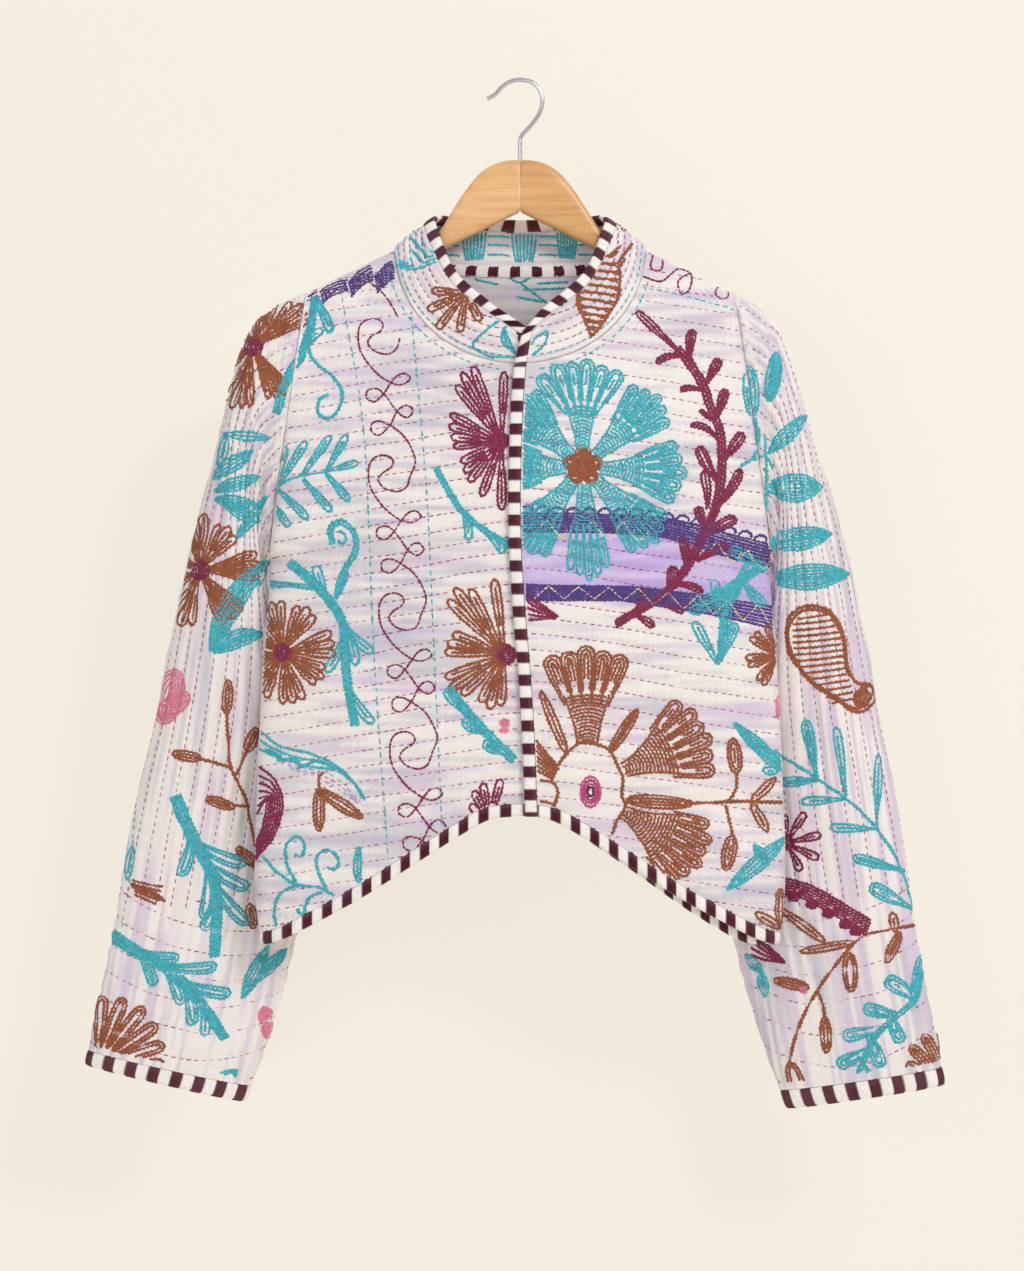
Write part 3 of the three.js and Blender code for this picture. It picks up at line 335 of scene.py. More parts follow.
def sleeveSurface(side):
    def surface(share, along):
        share, along = np.asarray(share, float), np.asarray(along, float)
        around = sleevePlain(side, share + 0.002, along) - sleevePlain(side, share - 0.002, along)
        down = sleevePlain(side, share, np.minimum(along + 0.002,
                                                   1)) - sleevePlain(side, share, along - 0.002)
        n = unit(np.cross(around, down))
        p = sleevePlain(side, share, along)
        n = np.where((np.einsum("...i,...i", n, p - sleeveSection(side, along)[0]) < 0)[..., None], -n, n)
        size = sleeveRounds[side][2]
        u = share * np.interp(along, np.linspace(0, 1, 41), size)
        long, cross = sleevePhases(share, along)
        w = smooth((along - sleeve["crossFrom"]) / 0.04)
        v = along * sleeve["length"]
        rise = puffed(long, v + 40, u) * (1 - w) + puffed(cross, u, v) * w
        edge = smooth(along / 0.02) * smooth((1 - along) / 0.035)
        p = p + n * (rise * edge)[..., None]
        flip = np.array([side, 1, 1])
        return p * flip, n * flip
    return surface


def sleevePlace(side, x, z, behind):
    # The share and along of a place on the sleeve's front or back, and how far the place misses the sleeve
    x = side * x
    low, high = np.zeros_like(x), np.ones_like(x)
    for _ in range(26):
        mid = (low + high) / 2
        centre, reach, _, _ = sleeveSection(side, mid)
        over = (x - centre[..., 0]) * reach[..., 2] - (z - centre[..., 2]) * reach[..., 0]
        low, high = np.where(over > 0, mid, low), np.where(over > 0, high, mid)
    along = (low + high) / 2
    centre, reach, back, half = sleeveSection(side, along)
    flat = unit(reach[..., [0, 2]])
    target = (x - centre[..., 0]) * flat[..., 0] + (z - centre[..., 2]) * flat[..., 1]
    lean = back[..., 0] * flat[..., 0] + back[..., 2] * flat[..., 1]
    width = np.hypot(reach[..., 0], reach[..., 2])
    e = 2 / sleeve["power"]
    lean = lean * (-1 if behind else 1)
    low, high = np.zeros_like(x), np.full_like(x, 0.5)
    for _ in range(22):
        mid = (low + high) / 2
        c, s = np.cos(mid * 2 * np.pi), np.sin(mid * 2 * np.pi)
        place = np.sign(c) * np.abs(c) ** e * width - s ** e * half * lean
        low, high = np.where(place > target, mid, low), np.where(place > target, high, mid)
    turn = 1 - low if behind else low
    return inTable(sleeveRounds[side][1], along, turn), along, np.abs(place - target)


# The collar: q runs from the middle of the back (0) to the front edges (-1 and 1), up from seam to free edge
collarTop = [columnCurve(collarTable, k) for k in (1, 2, 3)]


def neckSeam(q):
    side, share = np.where(q < 0, -1, 1), np.abs(q)
    backX = neck["halfWidth"] * np.sin(np.minimum(share / 0.5, 1) * np.pi / 2)
    end = np.where(side == 1, frontInnerX(1, neck["seamEnd"]), frontInnerX(-1, neck["seamEnd"]))
    t = np.clip((share - 0.5) / 0.5, 0, 1)
    frontX = end + (neck["halfWidth"] - end) * np.cos(t * np.pi / 2)
    behind = bodyPoint("back", side, backX, neckZ("back", backX))
    before = bodyPoint("front", side, frontX, neckZ("front", frontX))
    return np.where((share < 0.5)[..., None], behind, before)


def collarPoint(q, up):
    side, share = np.where(q < 0, -1, 1), np.abs(q)
    lift = smooth((share - 0.8) / 0.2)
    end = np.where(side == 1, 0, -overlap["reach"] + 4)
    step = np.where(side == 1, overlap["step"] * lift, 0)
    topX, topY, topZ = [curve(share) for curve in collarTop]
    top = np.stack([side * (topX + end * smooth((share - 0.93) / 0.07)), topY - step, topZ], -1)
    seam = neckSeam(q)
    up = np.asarray(up, float) + 0 * share
    p = seam + (top - seam) * up[..., None]
    out = unit(p * np.array([1, 2, 0]))
    return p + out * (collarBulge * 4 * up * (1 - up) * (1 - 0.6 * lift))[..., None]


def collarNormal(q, up):
    across = collarPoint(np.minimum(1, q + 0.004), up) - collarPoint(np.maximum(-1, q - 0.004), up)
    rise = collarPoint(q, np.minimum(1, up + 0.02)) - collarPoint(q, np.maximum(0, up - 0.02))
    return unit(np.cross(rise, across))


def collarHeight(q):
    return np.linalg.norm(collarPoint(q, 0 * q) - collarPoint(q, 0 * q + 1), axis=-1)


def collarSurface(inside=False):
    def surface(q, up):
        p, n = collarPoint(q, up), collarNormal(q, up)
        height = collarHeight(q)
        v = up * height
        room = np.minimum.reduce([(1 - np.abs(q)) * 260 / 5, v / 4, (height - cloth["boundDepth"] - v) / 4])
        rise = 0.7 * puffed(v / 8 + 0.4, q * 260 + 400, v) * smooth(room)
        rise = rise + 1.3 * np.exp(-((v - 3.0) / 1.7) ** 2) * smooth(room * 3)
        if inside:
            return p - n * cloth["wall"], -n
        return p + n * rise[..., None], n
    return surface


# Meshes
def newObject(name, points, faces, material, colours=None, uv=None, sharp=50):
    mesh = bpy.data.meshes.new(name)
    points, faces = np.asarray(points, np.float32) * mm, np.asarray(faces, np.int32)
    count, corners = len(faces), faces.shape[1]
    mesh.vertices.add(len(points))
    mesh.vertices.foreach_set("co", points.ravel())
    mesh.loops.add(count * corners)
    mesh.loops.foreach_set("vertex_index", faces.ravel())
    mesh.polygons.add(count)
    mesh.polygons.foreach_set("loop_start", np.arange(count, dtype=np.int32) * corners)
    mesh.update(calc_edges=True)
    mesh.polygons.foreach_set("use_smooth", np.ones(count, bool))
    mesh.set_sharp_from_angle(angle=math.radians(sharp))
    if colours is not None:
        layer = mesh.color_attributes.new("dye", "FLOAT_COLOR", "POINT")
        rgba = np.ones((len(points), 4), np.float32)
        rgba[:, :3] = colours
        layer.data.foreach_set("color", rgba.ravel())
    if uv is not None:
        layer = mesh.uv_layers.new(name="cloth")
        layer.data.foreach_set("uv", (np.asarray(uv, np.float32)[faces.ravel()] * mm).ravel())
    mesh.materials.append(material)
    obj = bpy.data.objects.new(name, mesh)
    bpy.context.collection.objects.link(obj)
    return obj


def gridFaces(ids, around):
    nextColumn = np.roll(ids, -1, 1) if around else ids[:, 1:]
    base = ids if around else ids[:, :-1]
    a, b, c, d = base[:-1], base[1:], nextColumn[1:], nextColumn[:-1]
    return np.stack([a, b, c, d], -1).reshape(-1, 4)


def split(quads):
    return np.concatenate([quads[:, [0, 1, 2]], quads[:, [0, 2, 3]]])


def tubeFaces(ids):
    # The skin of a row of rings, with a fan of faces over each end
    ends = [np.stack([0 * ring[2:] + ring[0], ring[1:-1], ring[2:]], -1) for ring in (ids[0], ids[-1])]
    return np.concatenate([split(gridFaces(ids, True)), ends[0][:, ::-1], ends[1]])


def barFaces(ids):
    return [split(gridFaces(ids, True)), np.array([ids[0], ids[-1][::-1]])]


def facingOut(points, faces):
    a, b, c = (points[faces[:, k]] for k in range(3))
    return faces[:, ::-1] if np.einsum("ij,ij", a, np.cross(b, c)) < 0 else faces


def rimFaces(outer, inner, turned):
    # Joins a fine line of points to one with half as many
    o0, o1, o2 = outer[:-1:2], outer[1::2], outer[2::2]
    i0, i1 = inner[:-1], inner[1:]
    faces = np.concatenate([np.stack(t, -1) for t in ((o0, o1, i0), (o1, i1, i0), (o1, o2, i1))])
    return faces[:, ::-1] if turned else faces


def shell(name, outer, inner, around, colours, uv):
    # A closed wall from a fine outer grid and an inner grid at half its rows and columns
    rows, columns = outer.shape[:2]
    outerIds = np.arange(rows * columns).reshape(rows, columns)
    innerIds = np.arange(inner.shape[0] * inner.shape[1]).reshape(inner.shape[:2]) + rows * columns
    front, behind = split(gridFaces(outerIds, around)), split(gridFaces(innerIds, around))[:, ::-1]
    close = (lambda line: np.append(line, line[0])) if around else (lambda line: line)
    rims = [rimFaces(close(outerIds[0]), close(innerIds[0]), False),
            rimFaces(close(outerIds[-1]), close(innerIds[-1]), True)]
    if not around:
        rims += [rimFaces(outerIds[:, 0], innerIds[:, 0], True),
                 rimFaces(outerIds[:, -1], innerIds[:, -1], False)]
    points = np.concatenate([outer.reshape(-1, 3), inner.reshape(-1, 3)])
    faces = facingOut(points, np.concatenate([front, behind] + rims))
    shades = np.concatenate([colours.reshape(-1, 3), colours[::2, ::2].reshape(-1, 3)])
    uvs = np.concatenate([uv.reshape(-1, 2), uv[::2, ::2].reshape(-1, 2)])
    obj = newObject(name, points, faces, quiltedCotton, shades, uvs)
    print(name, len(faces), "triangles")
    return obj


# Materials
def nodeMaterial(name, roughness, **fixed):
    material = bpy.data.materials.new(name)
    material.use_nodes = True
    tree = material.node_tree
    shader = tree.nodes["Principled BSDF"]
    shader.inputs["Roughness"].default_value = roughness
    for key, value in fixed.items():
        shader.inputs[key.replace("_", " ")].default_value = value
    return material, tree, shader


def addNode(tree, kind, settings=(), **inputs):
    node = tree.nodes.new(kind)
    for key, value in settings:
        setattr(node, key, value)
    for key, value in inputs.items():
        socket = node.inputs[int(key[1:])] if key[0] == "i" and key[1:].isdigit() else node.inputs[key]
        if isinstance(value, bpy.types.NodeSocket):
            tree.links.new(value, socket)
        else:
            socket.default_value = value
    return node


def mottle(tree, shader, pattern, low, high, dark, light):
    # The dyed colour of each point, made darker and lighter by a pattern
    dye = addNode(tree, "ShaderNodeAttribute", [("attribute_name", "dye")])
    shade = addNode(tree, "ShaderNodeMapRange", Value=pattern,
                    **{"From Min": low, "From Max": high, "To Min": dark, "To Max": light})
    tone = addNode(tree, "ShaderNodeVectorMath", [("operation", "SCALE")], i0=dye.outputs["Color"],
                   Scale=shade.outputs[0])
    tree.links.new(tone.outputs[0], shader.inputs["Base Color"])


def relief(tree, shader, height, strength, distance):
    bump = addNode(tree, "ShaderNodeBump", Height=height, Strength=strength, Distance=distance)
    tree.links.new(bump.outputs[0], shader.inputs["Normal"])


def clothMaterial():
    material, tree, shader = nodeMaterial("quiltedCotton", 0.88, Sheen_Weight=0.22, Sheen_Roughness=0.5)
    shader.inputs["Specular IOR Level"].default_value = 0.25
    uv = addNode(tree, "ShaderNodeUVMap", [("uv_map", "cloth")])
    down = addNode(tree, "ShaderNodeMapping", Vector=uv.outputs[0], Scale=(420, 26, 1))
    across = addNode(tree, "ShaderNodeMapping", Vector=uv.outputs[0], Scale=(30, 520, 1))
    warp = addNode(tree, "ShaderNodeTexNoise", Vector=down.outputs[0], Scale=1.0, Detail=3.0, Roughness=0.6)
    weft = addNode(tree, "ShaderNodeTexNoise", Vector=across.outputs[0], Scale=1.0, Detail=3.0, Roughness=0.6)
    slub = addNode(tree, "ShaderNodeMath", [("operation", "ADD")], i0=warp.outputs[0], i1=weft.outputs[0])
    mottle(tree, shader, slub.outputs[0], 0.6, 1.4, 0.92, 1.06)
    fine = addNode(tree, "ShaderNodeTexNoise", Vector=uv.outputs[0], Scale=900.0, Detail=2.0)
    height = addNode(tree, "ShaderNodeMath", [("operation", "MULTIPLY_ADD")], i0=slub.outputs[0], i1=0.8,
                     i2=fine.outputs[0])
    relief(tree, shader, height.outputs[0], 0.5, 0.0003)
    return material


def threadMaterial(name, roughness, sheen, twist):
    material, tree, shader = nodeMaterial(name, roughness, Sheen_Weight=sheen, Sheen_Roughness=0.4)
    place = addNode(tree, "ShaderNodeTexCoord")
    fibre = addNode(tree, "ShaderNodeTexNoise", Vector=place.outputs["Object"], Scale=twist, Detail=2.0)
    mottle(tree, shader, fibre.outputs[0], 0.3, 0.7, 0.86, 1.1)
    relief(tree, shader, fibre.outputs[0], 0.4, 0.0002)
    return material


def woodMaterial(name, light, dark):
    material, tree, shader = nodeMaterial(name, 0.42, Coat_Weight=0.25, Coat_Roughness=0.25)
    place = addNode(tree, "ShaderNodeTexCoord")
    run = addNode(tree, "ShaderNodeMapping", Vector=place.outputs["Object"], Scale=(14, 60, 160))
    grainLines = addNode(tree, "ShaderNodeTexNoise", Vector=run.outputs[0], Scale=1.0, Detail=5.0,
                         Roughness=0.65)
    broad = addNode(tree, "ShaderNodeTexNoise", Vector=place.outputs["Object"], Scale=18.0, Detail=2.0)
    both = addNode(tree, "ShaderNodeMath", [("operation", "MULTIPLY_ADD")], i0=broad.outputs[0], i1=0.35,
                   i2=grainLines.outputs[0])
    ramp = addNode(tree, "ShaderNodeValToRGB", Fac=both.outputs[0])
    for stop, position, code in zip(ramp.color_ramp.elements, (0.45, 0.85), (dark, light)):
        stop.position, stop.color = position, (*colour(code), 1)
    tree.links.new(ramp.outputs[0], shader.inputs["Base Color"])
    relief(tree, shader, grainLines.outputs[0], 0.15, 0.0003)
    return material


def steelMaterial():
    material, tree, shader = nodeMaterial("brightWire", 0.18, Metallic=1.0)
    place = addNode(tree, "ShaderNodeTexCoord")
    marks = addNode(tree, "ShaderNodeTexNoise", Vector=place.outputs["Object"], Scale=240.0, Detail=3.0)
    rough = addNode(tree, "ShaderNodeMapRange", Value=marks.outputs[0])
    rough.inputs["To Min"].default_value = 0.12
    rough.inputs["To Max"].default_value = 0.3
    tree.links.new(rough.outputs[0], shader.inputs["Roughness"])
    shader.inputs["Base Color"].default_value = (0.62, 0.62, 0.63, 1)
    return material


quiltedCotton = clothMaterial()
stitchThread = threadMaterial("stitchThread", 0.55, 0.1, 1400.0)
bindingCotton = threadMaterial("bindingCotton", 0.75, 0.3, 900.0)
satinThread = threadMaterial("satinThread", 0.45, 0.05, 1200.0)


bandTop = curveOf([0, 60, 120, 170, 215], [-346, -347, -353, -367, -377])
bandFoot = curveOf([0, 60, 120, 170, 215], [-417, -418, -423, -432, -437])


# Dye: the soft streaks of the old cloth, and the lilac band woven into the left front
def clothDye(x, z, panel):
    white, lilac, grey = colour(cloth["offWhite"]), colour(cloth["lilac"]), colour(cloth["grey"])
    run, over = (z, x) if "sleeve" in panel else (x, z)
    streak = smooth(0.15 + 1.2 * noise(run / 46, over / 3.2 + 5) + 0.7 * noise(run / 80 + 8, over / 24))
    dusk = smooth(0.05 + 1.2 * noise(run / 38 + 9, over / 3.6 + 2) + 0.8 * noise(run / 70 + 3,
                                                                                 over / 50 + 20))
    mix = white + (lilac - white) * (0.75 * streak)[..., None]
    mix = mix + (grey - mix) * (0.6 * dusk)[..., None]
    if panel == "front_left_quilt":
        top, foot = bandTop(x), bandFoot(x)
        field = smooth((top - z) / 3) * smooth((z - foot) / 3) * (0.75 + 0.25 * noise(x / 30, z / 4))
        mix = mix + (colour("B495DC") - mix) * (0.85 * field)[..., None]
    return mix


# The quilted panels
def panelGrid(face, side, columns, rows):
    # Local x and z of a panel's points, from its neck and shoulder line down to its hem
    depth = cloth["boundDepth"]
    inner = (lambda z: frontInnerX(side, z) + depth) if face == "front" else (lambda z: 0 * z)
    start = float(inner(np.array(neckZ("front", 0.0)))) if face == "front" else 0.0
    neckCount = int(columns * 0.58)
    least = math.asin(start / neck["halfWidth"])
    arc = neck["halfWidth"] * np.sin(np.linspace(least, math.pi / 2, neckCount + 1))
    ridge = np.linspace(neck["halfWidth"], shoulder["tipX"], columns - neckCount + 1)[1:]
    topX = np.concatenate([arc, ridge])
    topZ = np.where(topX <= neck["halfWidth"], neckZ(face, topX), ridgeZ(topX))
    f = (topX - inner(topZ)) / (sideX(topZ) - inner(topZ))
    f[0], f[-1] = 0, 1
    foot = np.full_like(f, -640.0)
    for _ in range(40):
        x = inner(foot) + (sideX(foot) - inner(foot)) * f
        foot = hemZ(face, side, x) + hemRise(np.abs(x))
    r = np.linspace(0, 1, rows + 1)[:, None]
    z = topZ + (foot - topZ) * r
    return inner(z) + (sideX(z) - inner(z)) * f, z


def panelShell(name, face, side, columns, rows):
    if face == "front":
        x, z = panelGrid(face, side, columns, rows)
        x = side * x
    else:
        x, z = panelGrid(face, 1, columns, rows)
        x2, z2 = panelGrid(face, -1, columns, rows)
        x, z = np.concatenate([-x2[:, :0:-1], x], 1), np.concatenate([z2[:, :0:-1], z], 1)
    outer, _ = bodySurface(face, side)(x, z)
    own = np.where(x < 0, -1, 1) if face == "back" else side
    local = own * x
    # Along the side seam and the ridge the two faces meet with a seam's gap
    edges = (np.abs(sideX(z) - local) < 0.01) & (z < armhole["bottomZ"]) | (np.abs(ridgeZ(local) - z) < 0.01)
    outer[..., 1] += edges * (-0.15 if face == "front" else 0.15)
    half = (slice(None, None, 2), slice(None, None, 2))
    ownHalf = own[half] if face == "back" else side
    normal = bodyNormal(face, ownHalf, local[half], z[half])
    plain = bodyPoint(face, ownHalf, local[half], z[half])
    plain[..., 1] += edges[half] * (-0.15 if face == "front" else 0.15)
    onRidge = np.abs(ridgeZ(local[half]) - z[half]) < 0.01
    atSide = np.abs(sideX(z[half]) - local[half]) < 0.01
    ridgeNormal = unit(np.stack([np.sign(x[half]) * shoulder["slope"], 0 * z[half], 1 + 0 * z[half]], -1))
    sideNormal = np.stack([np.sign(x[half]), 0 * z[half], 0 * z[half]], -1)
    holeNormal = armholeNormal() * np.stack([np.sign(x[half]), 1 + 0 * z[half], 1 + 0 * z[half]], -1)
    inHole = unit(normal - holeNormal * np.einsum("...i,...i", normal, holeNormal)[..., None])
    lower = z[half] < armhole["bottomZ"] + 0.01
    normal = np.where((atSide & lower)[..., None], sideNormal, normal)
    normal = np.where((atSide & ~lower)[..., None], inHole, normal)
    normal = np.where(onRidge[..., None], ridgeNormal, normal)
    inner = plain - normal * cloth["wall"]
    return shell(name, outer, inner, False, clothDye(x, z, name), np.stack([x, z], -1))


frontRight = panelShell("front_right_quilt", "front", -1, 70, 220)
frontLeft = panelShell("front_left_quilt", "front", 1, 70, 220)
backPanel = panelShell("back_quilt", "back", 0, 66, 220)


def sleeveShell(name, side, columns, rows):
    end = 1 - sleeve["cuff"] - 0.0004
    along = np.linspace(0, end, rows + 1)[:, None] + np.zeros((1, columns))
    share = np.arange(columns)[None, :] / columns + np.zeros((rows + 1, 1))
    outer, _ = sleeveSurface(side)(share, along)
    flip = np.array([side, 1, 1])
    inner = sleevePlain(side, share[::2, ::2], along[::2, ::2], -cloth["wall"]) * flip
    u = share * np.interp(along, np.linspace(0, 1, 41), sleeveRounds[side][2])
    v = -along * sleeve["length"]
    return shell(name, outer, inner, True, clothDye(u + 137 * side, v, name), np.stack([u, v], -1))


sleeveRight = sleeveShell("sleeve_right_quilt", -1, 168, 176)
sleeveLeft = sleeveShell("sleeve_left_quilt", 1, 168, 176)


def collarEnd(side):
    end = float(frontInnerX(side, neck["seamEnd"]))
    corner = end + cloth["boundDepth"]
    t = 2 * math.acos((corner - end) / (neck["halfWidth"] - end)) / math.pi
    return side * (0.5 + 0.5 * t)


def collarShell(name, columns, rows):
    q = np.linspace(collarEnd(-1), collarEnd(1), columns + 1)
    height = collarHeight(q)
    low, high = 0.45 / height, 1 - cloth["boundDepth"] / height
    up = low + (high - low) * np.linspace(0, 1, rows + 1)[:, None]
    q = q + 0 * up
    outer, _ = collarSurface()(q, up)
    inner = collarPoint(q[::2, ::2], up[::2, ::2]) - collarNormal(q[::2, ::2], up[::2, ::2]) * cloth["wall"]
    u, v = q * 260, up * 60
    return shell(name, outer, inner, False, clothDye(u, v, name), np.stack([u, v], -1))


collarPiece = collarShell("collar_quilt", 220, 28)
print("cloth done")


# Bound edges: a soft cotton strip, whipped over with blocks of satin thread
binding = {"width": 9.5, "proud": 0.7, "puff": 0.6, "period": 18.0, "block": 8.2, "threads": 7,
           "threadHigh": 0.55, "cotton": "EDE8E2", "maroon": "56182F"}


def resampled(line, step, closed):
    if closed:
        line = np.concatenate([line, line[:1]])
    size = lengthsAlong(line)
    count = max(3, int(round(size[-1] / step)))
    at = np.linspace(0, size[-1], count + 1)
    return size, at[:-1] if closed else at


def bindingProfile(a, b, n, width, puff):
    # Points round the bound edge, from the outer face over the edge to the inner face
    wall, top = cloth["wall"], binding["proud"] + puff
    run = unit(b - a)
    width = width[:, None]
    places = [(0.0, 0.35 * top), (0.12, 0.8 * top), (0.4, top), (0.72, top * 0.92), (0.93, top * 0.3)]
    rings = [a + run * width * w + n * np.asarray(h)[:, None] for w, h in places]
    rings.append(a + run * width * 1.0 + n * (-wall / 2))
    for w, h in reversed(places):
        rings.append(a + run * width * w + n * (-wall - np.asarray(h))[:, None])
    return np.stack(rings, 1)


def boundEdge(name, a, b, n, closed, replaced, offset=0.0):
    line = b.copy()
    size, at = resampled(line, 1.5, closed)
    if closed:
        a, b, n = (np.concatenate([v, v[:1]]) for v in (a, b, n))
    def station(s):
        return along(size, a, s), along(size, b, s), unit(along(size, n, s))
    sa, sb, sn = station(at)
    width = np.linalg.norm(sb - sa, axis=1)
    phase = ((at + offset) % binding["period"]) / binding["period"]
    share = binding["block"] / binding["period"]
    free = np.clip((phase - share) / (1 - share), 0, 1)
    puff = binding["puff"] * np.sin(np.pi * free) ** 0.6 * (phase > share) - 0.12 * (phase <= share)
    puff = puff + 0.12 * noise(at / 5 + offset, at * 0 + 3)
    rings = bindingProfile(sa, sb, sn, width, puff)
    ids = np.arange(rings.shape[0] * rings.shape[1]).reshape(rings.shape[:2])
    points = rings.reshape(-1, 3)
    skin = split(gridFaces(np.concatenate([ids, ids[:1]]), True)) if closed else tubeFaces(ids)
    faces = facingOut(points, skin)
    shades = colour(binding["cotton"]) * (1 + 0.05 * noise(points[:, 0] / 4, points[:, 2] / 4))[:, None]
    under = np.repeat((phase < share + 0.02) | (phase > 0.98), rings.shape[1])
    shades[under] = colour(binding["maroon"])
    strip = newObject(name, points, faces, bindingCotton, shades, None, 60)
    # Each satin thread is a ridge that starts and ends raggedly
    total = size[-1]
    starts = np.arange(-offset % binding["period"], total - 2, binding["period"])
    pitch = binding["block"] / binding["threads"]
    points, faces, shades = [], [], []
    for s in starts:
        for k in range(binding["threads"]):
            middle = s + (k + 0.5) * pitch
            if middle > total - 0.6:
                continue
            reachOut, reachIn = rng.uniform(-0.14, 0.1, 2)
            lean = rng.uniform(-0.15, 0.15)
            ta, tb, tn = station(np.array([middle - 0.58 * pitch, middle + 0.58 * pitch]))
            w = np.linalg.norm(tb - ta, axis=1)
            sides = bindingProfile(ta, tb, tn, w, np.full(2, -0.1))
            mid = sides.mean(0)
            run = unit(tb - ta).mean(0)
            normal = tn.mean(0)
            out = unit(np.concatenate([np.tile(normal, (4, 1)), [normal * 0.6 + run], [run],
                                       [run - normal * 0.6], np.tile(-normal, (4, 1))]))
            shift = np.zeros((11, 3))
            shift[0], shift[-1] = run * w[0] * reachOut, run * w[0] * reachIn
            skew = (sides[1] - sides[0]) * lean * np.linspace(-1, 1, 11)[:, None]
            high = binding["threadHigh"] * np.array([0.3, 0.9, 1, 1, 1, 1, 1, 1, 1, 0.9, 0.3])[:, None]
            base = len(points) * 33
            left, right = sides[0] + shift + skew, sides[1] + shift + skew
            bar = np.stack([left - out * 0.1, mid + shift + skew + out * high, right - out * 0.1], 1)
            ids = base + np.arange(33).reshape(11, 3)
            points.append(bar.reshape(-1, 3))
            faces += barFaces(ids)
            shade = colour(binding["maroon"]) * rng.uniform(0.8, 1.2)
            shades.append(np.tile(shade, (33, 1)))
    threads = newObject(name + "_threads", np.concatenate(points), np.concatenate(faces), satinThread,
                        np.concatenate(shades), None, 70)
    if replaced:
        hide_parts(replaced)
    print(name, len(strip.data.polygons) + len(threads.data.polygons), "triangles")
    return [strip, threads]


def frontEdgeLines(side):
    z = np.linspace(neck["seamEnd"] - 0.3, hemMiddle, 180)
    foot = hemZ("front", side, np.abs(frontInnerX(side, z)))
    z = np.maximum(z, foot)
    inner = frontInnerX(side, z)
    a = bodyPoint("front", side, inner + 9.3, z)
    b = bodyPoint("front", side, inner, z)
    return a, b, bodyNormal("front", side, inner + 9.3, z)


def hemLines(face, side, start):
    x = np.linspace(start, 205.4, 120)
    foot = hemZ(face, side, x)
    for _ in range(3):
        x = np.minimum(x, sideX(foot) - 0.02)
        foot = hemZ(face, side, x)
    head = foot + hemRise(x) * 0.97
    a = bodyPoint(face, side, np.minimum(x, sideX(head) - 0.02), head)
    b = bodyPoint(face, side, x, foot)
    return a, b, bodyNormal(face, side, np.minimum(x, sideX(head) - 2), head)


def cuffLines(side):
    edge = np.ones(160)
    share = np.arange(160) / 160
    a = sleevePlain(side, share, edge - sleeve["cuff"])
    b = sleevePlain(side, share, edge)
    n = unit(b - sleeveSection(side, edge)[0])
    n = unit(n - unit(b - a) * np.einsum("ij,ij->i", n, unit(b - a))[:, None])
    flip = np.array([side, 1, 1])
    return a * flip, b * flip, n * flip


def collarLines():
    ends = {}
    for side in (-1, 1):
        wallEnd = collarEnd(side)
        height = float(collarHeight(np.array([wallEnd]))[0])
        up = np.linspace(0.04, 0.86, 16)
        inner = np.minimum(up, 1 - cloth["boundDepth"] / height)
        ends[side] = (collarPoint(np.full(16, wallEnd + 0.03 * (side - wallEnd)), inner),
                      collarPoint(np.full(16, float(side)), up),
                      collarNormal(np.full(16, wallEnd), inner))
    q = np.linspace(collarEnd(-1), collarEnd(1), 400)
    edge = np.linspace(-1, 1, 400)
    a = collarPoint(q, 1 - binding["width"] / collarHeight(q))
    b = collarPoint(edge, np.ones(400))
    n = collarNormal(q, 1 - binding["width"] / collarHeight(q))
    right, left = ends[-1], ends[1]
    return [np.concatenate([r, m, l[::-1]]) for r, m, l in zip(right, (a, b, n), left)]


bindings = {}
bindings["frontRight"] = boundEdge("front_right_bound_edge", *frontEdgeLines(-1), False,
                                   "binding_front_right", 4)
bindings["frontLeft"] = boundEdge("front_left_bound_edge", *frontEdgeLines(1), False, "binding_front_left", 7)
for side, word in ((-1, "Right"), (1, "Left")):
    first = float(frontInnerX(side, hemMiddle)) + 10.1
    bindings["hem" + word] = boundEdge("front_" + word.lower() + "_bound_hem",
                                       *hemLines("front", side, first), False, "binding_hem_" + word.lower(),
                                       3 * side + 5)
rightHem, leftHem = hemLines("back", -1, 0.0), hemLines("back", 1, 0.0)
backHem = [np.concatenate([r[:0:-1], l]) for r, l in zip(rightHem, leftHem)]
bindings["hemBack"] = boundEdge("back_bound_hem", *backHem, False, "binding_hem_back", 9)
bindings["cuffRight"] = boundEdge("cuff_right_binding", *cuffLines(-1), True, "binding_cuff_right")
bindings["cuffLeft"] = boundEdge("cuff_left_binding", *cuffLines(1), True, "binding_cuff_left")
bindings["collar"] = boundEdge("collar_bound_edge", *collarLines(), False, "binding_collar", 6)


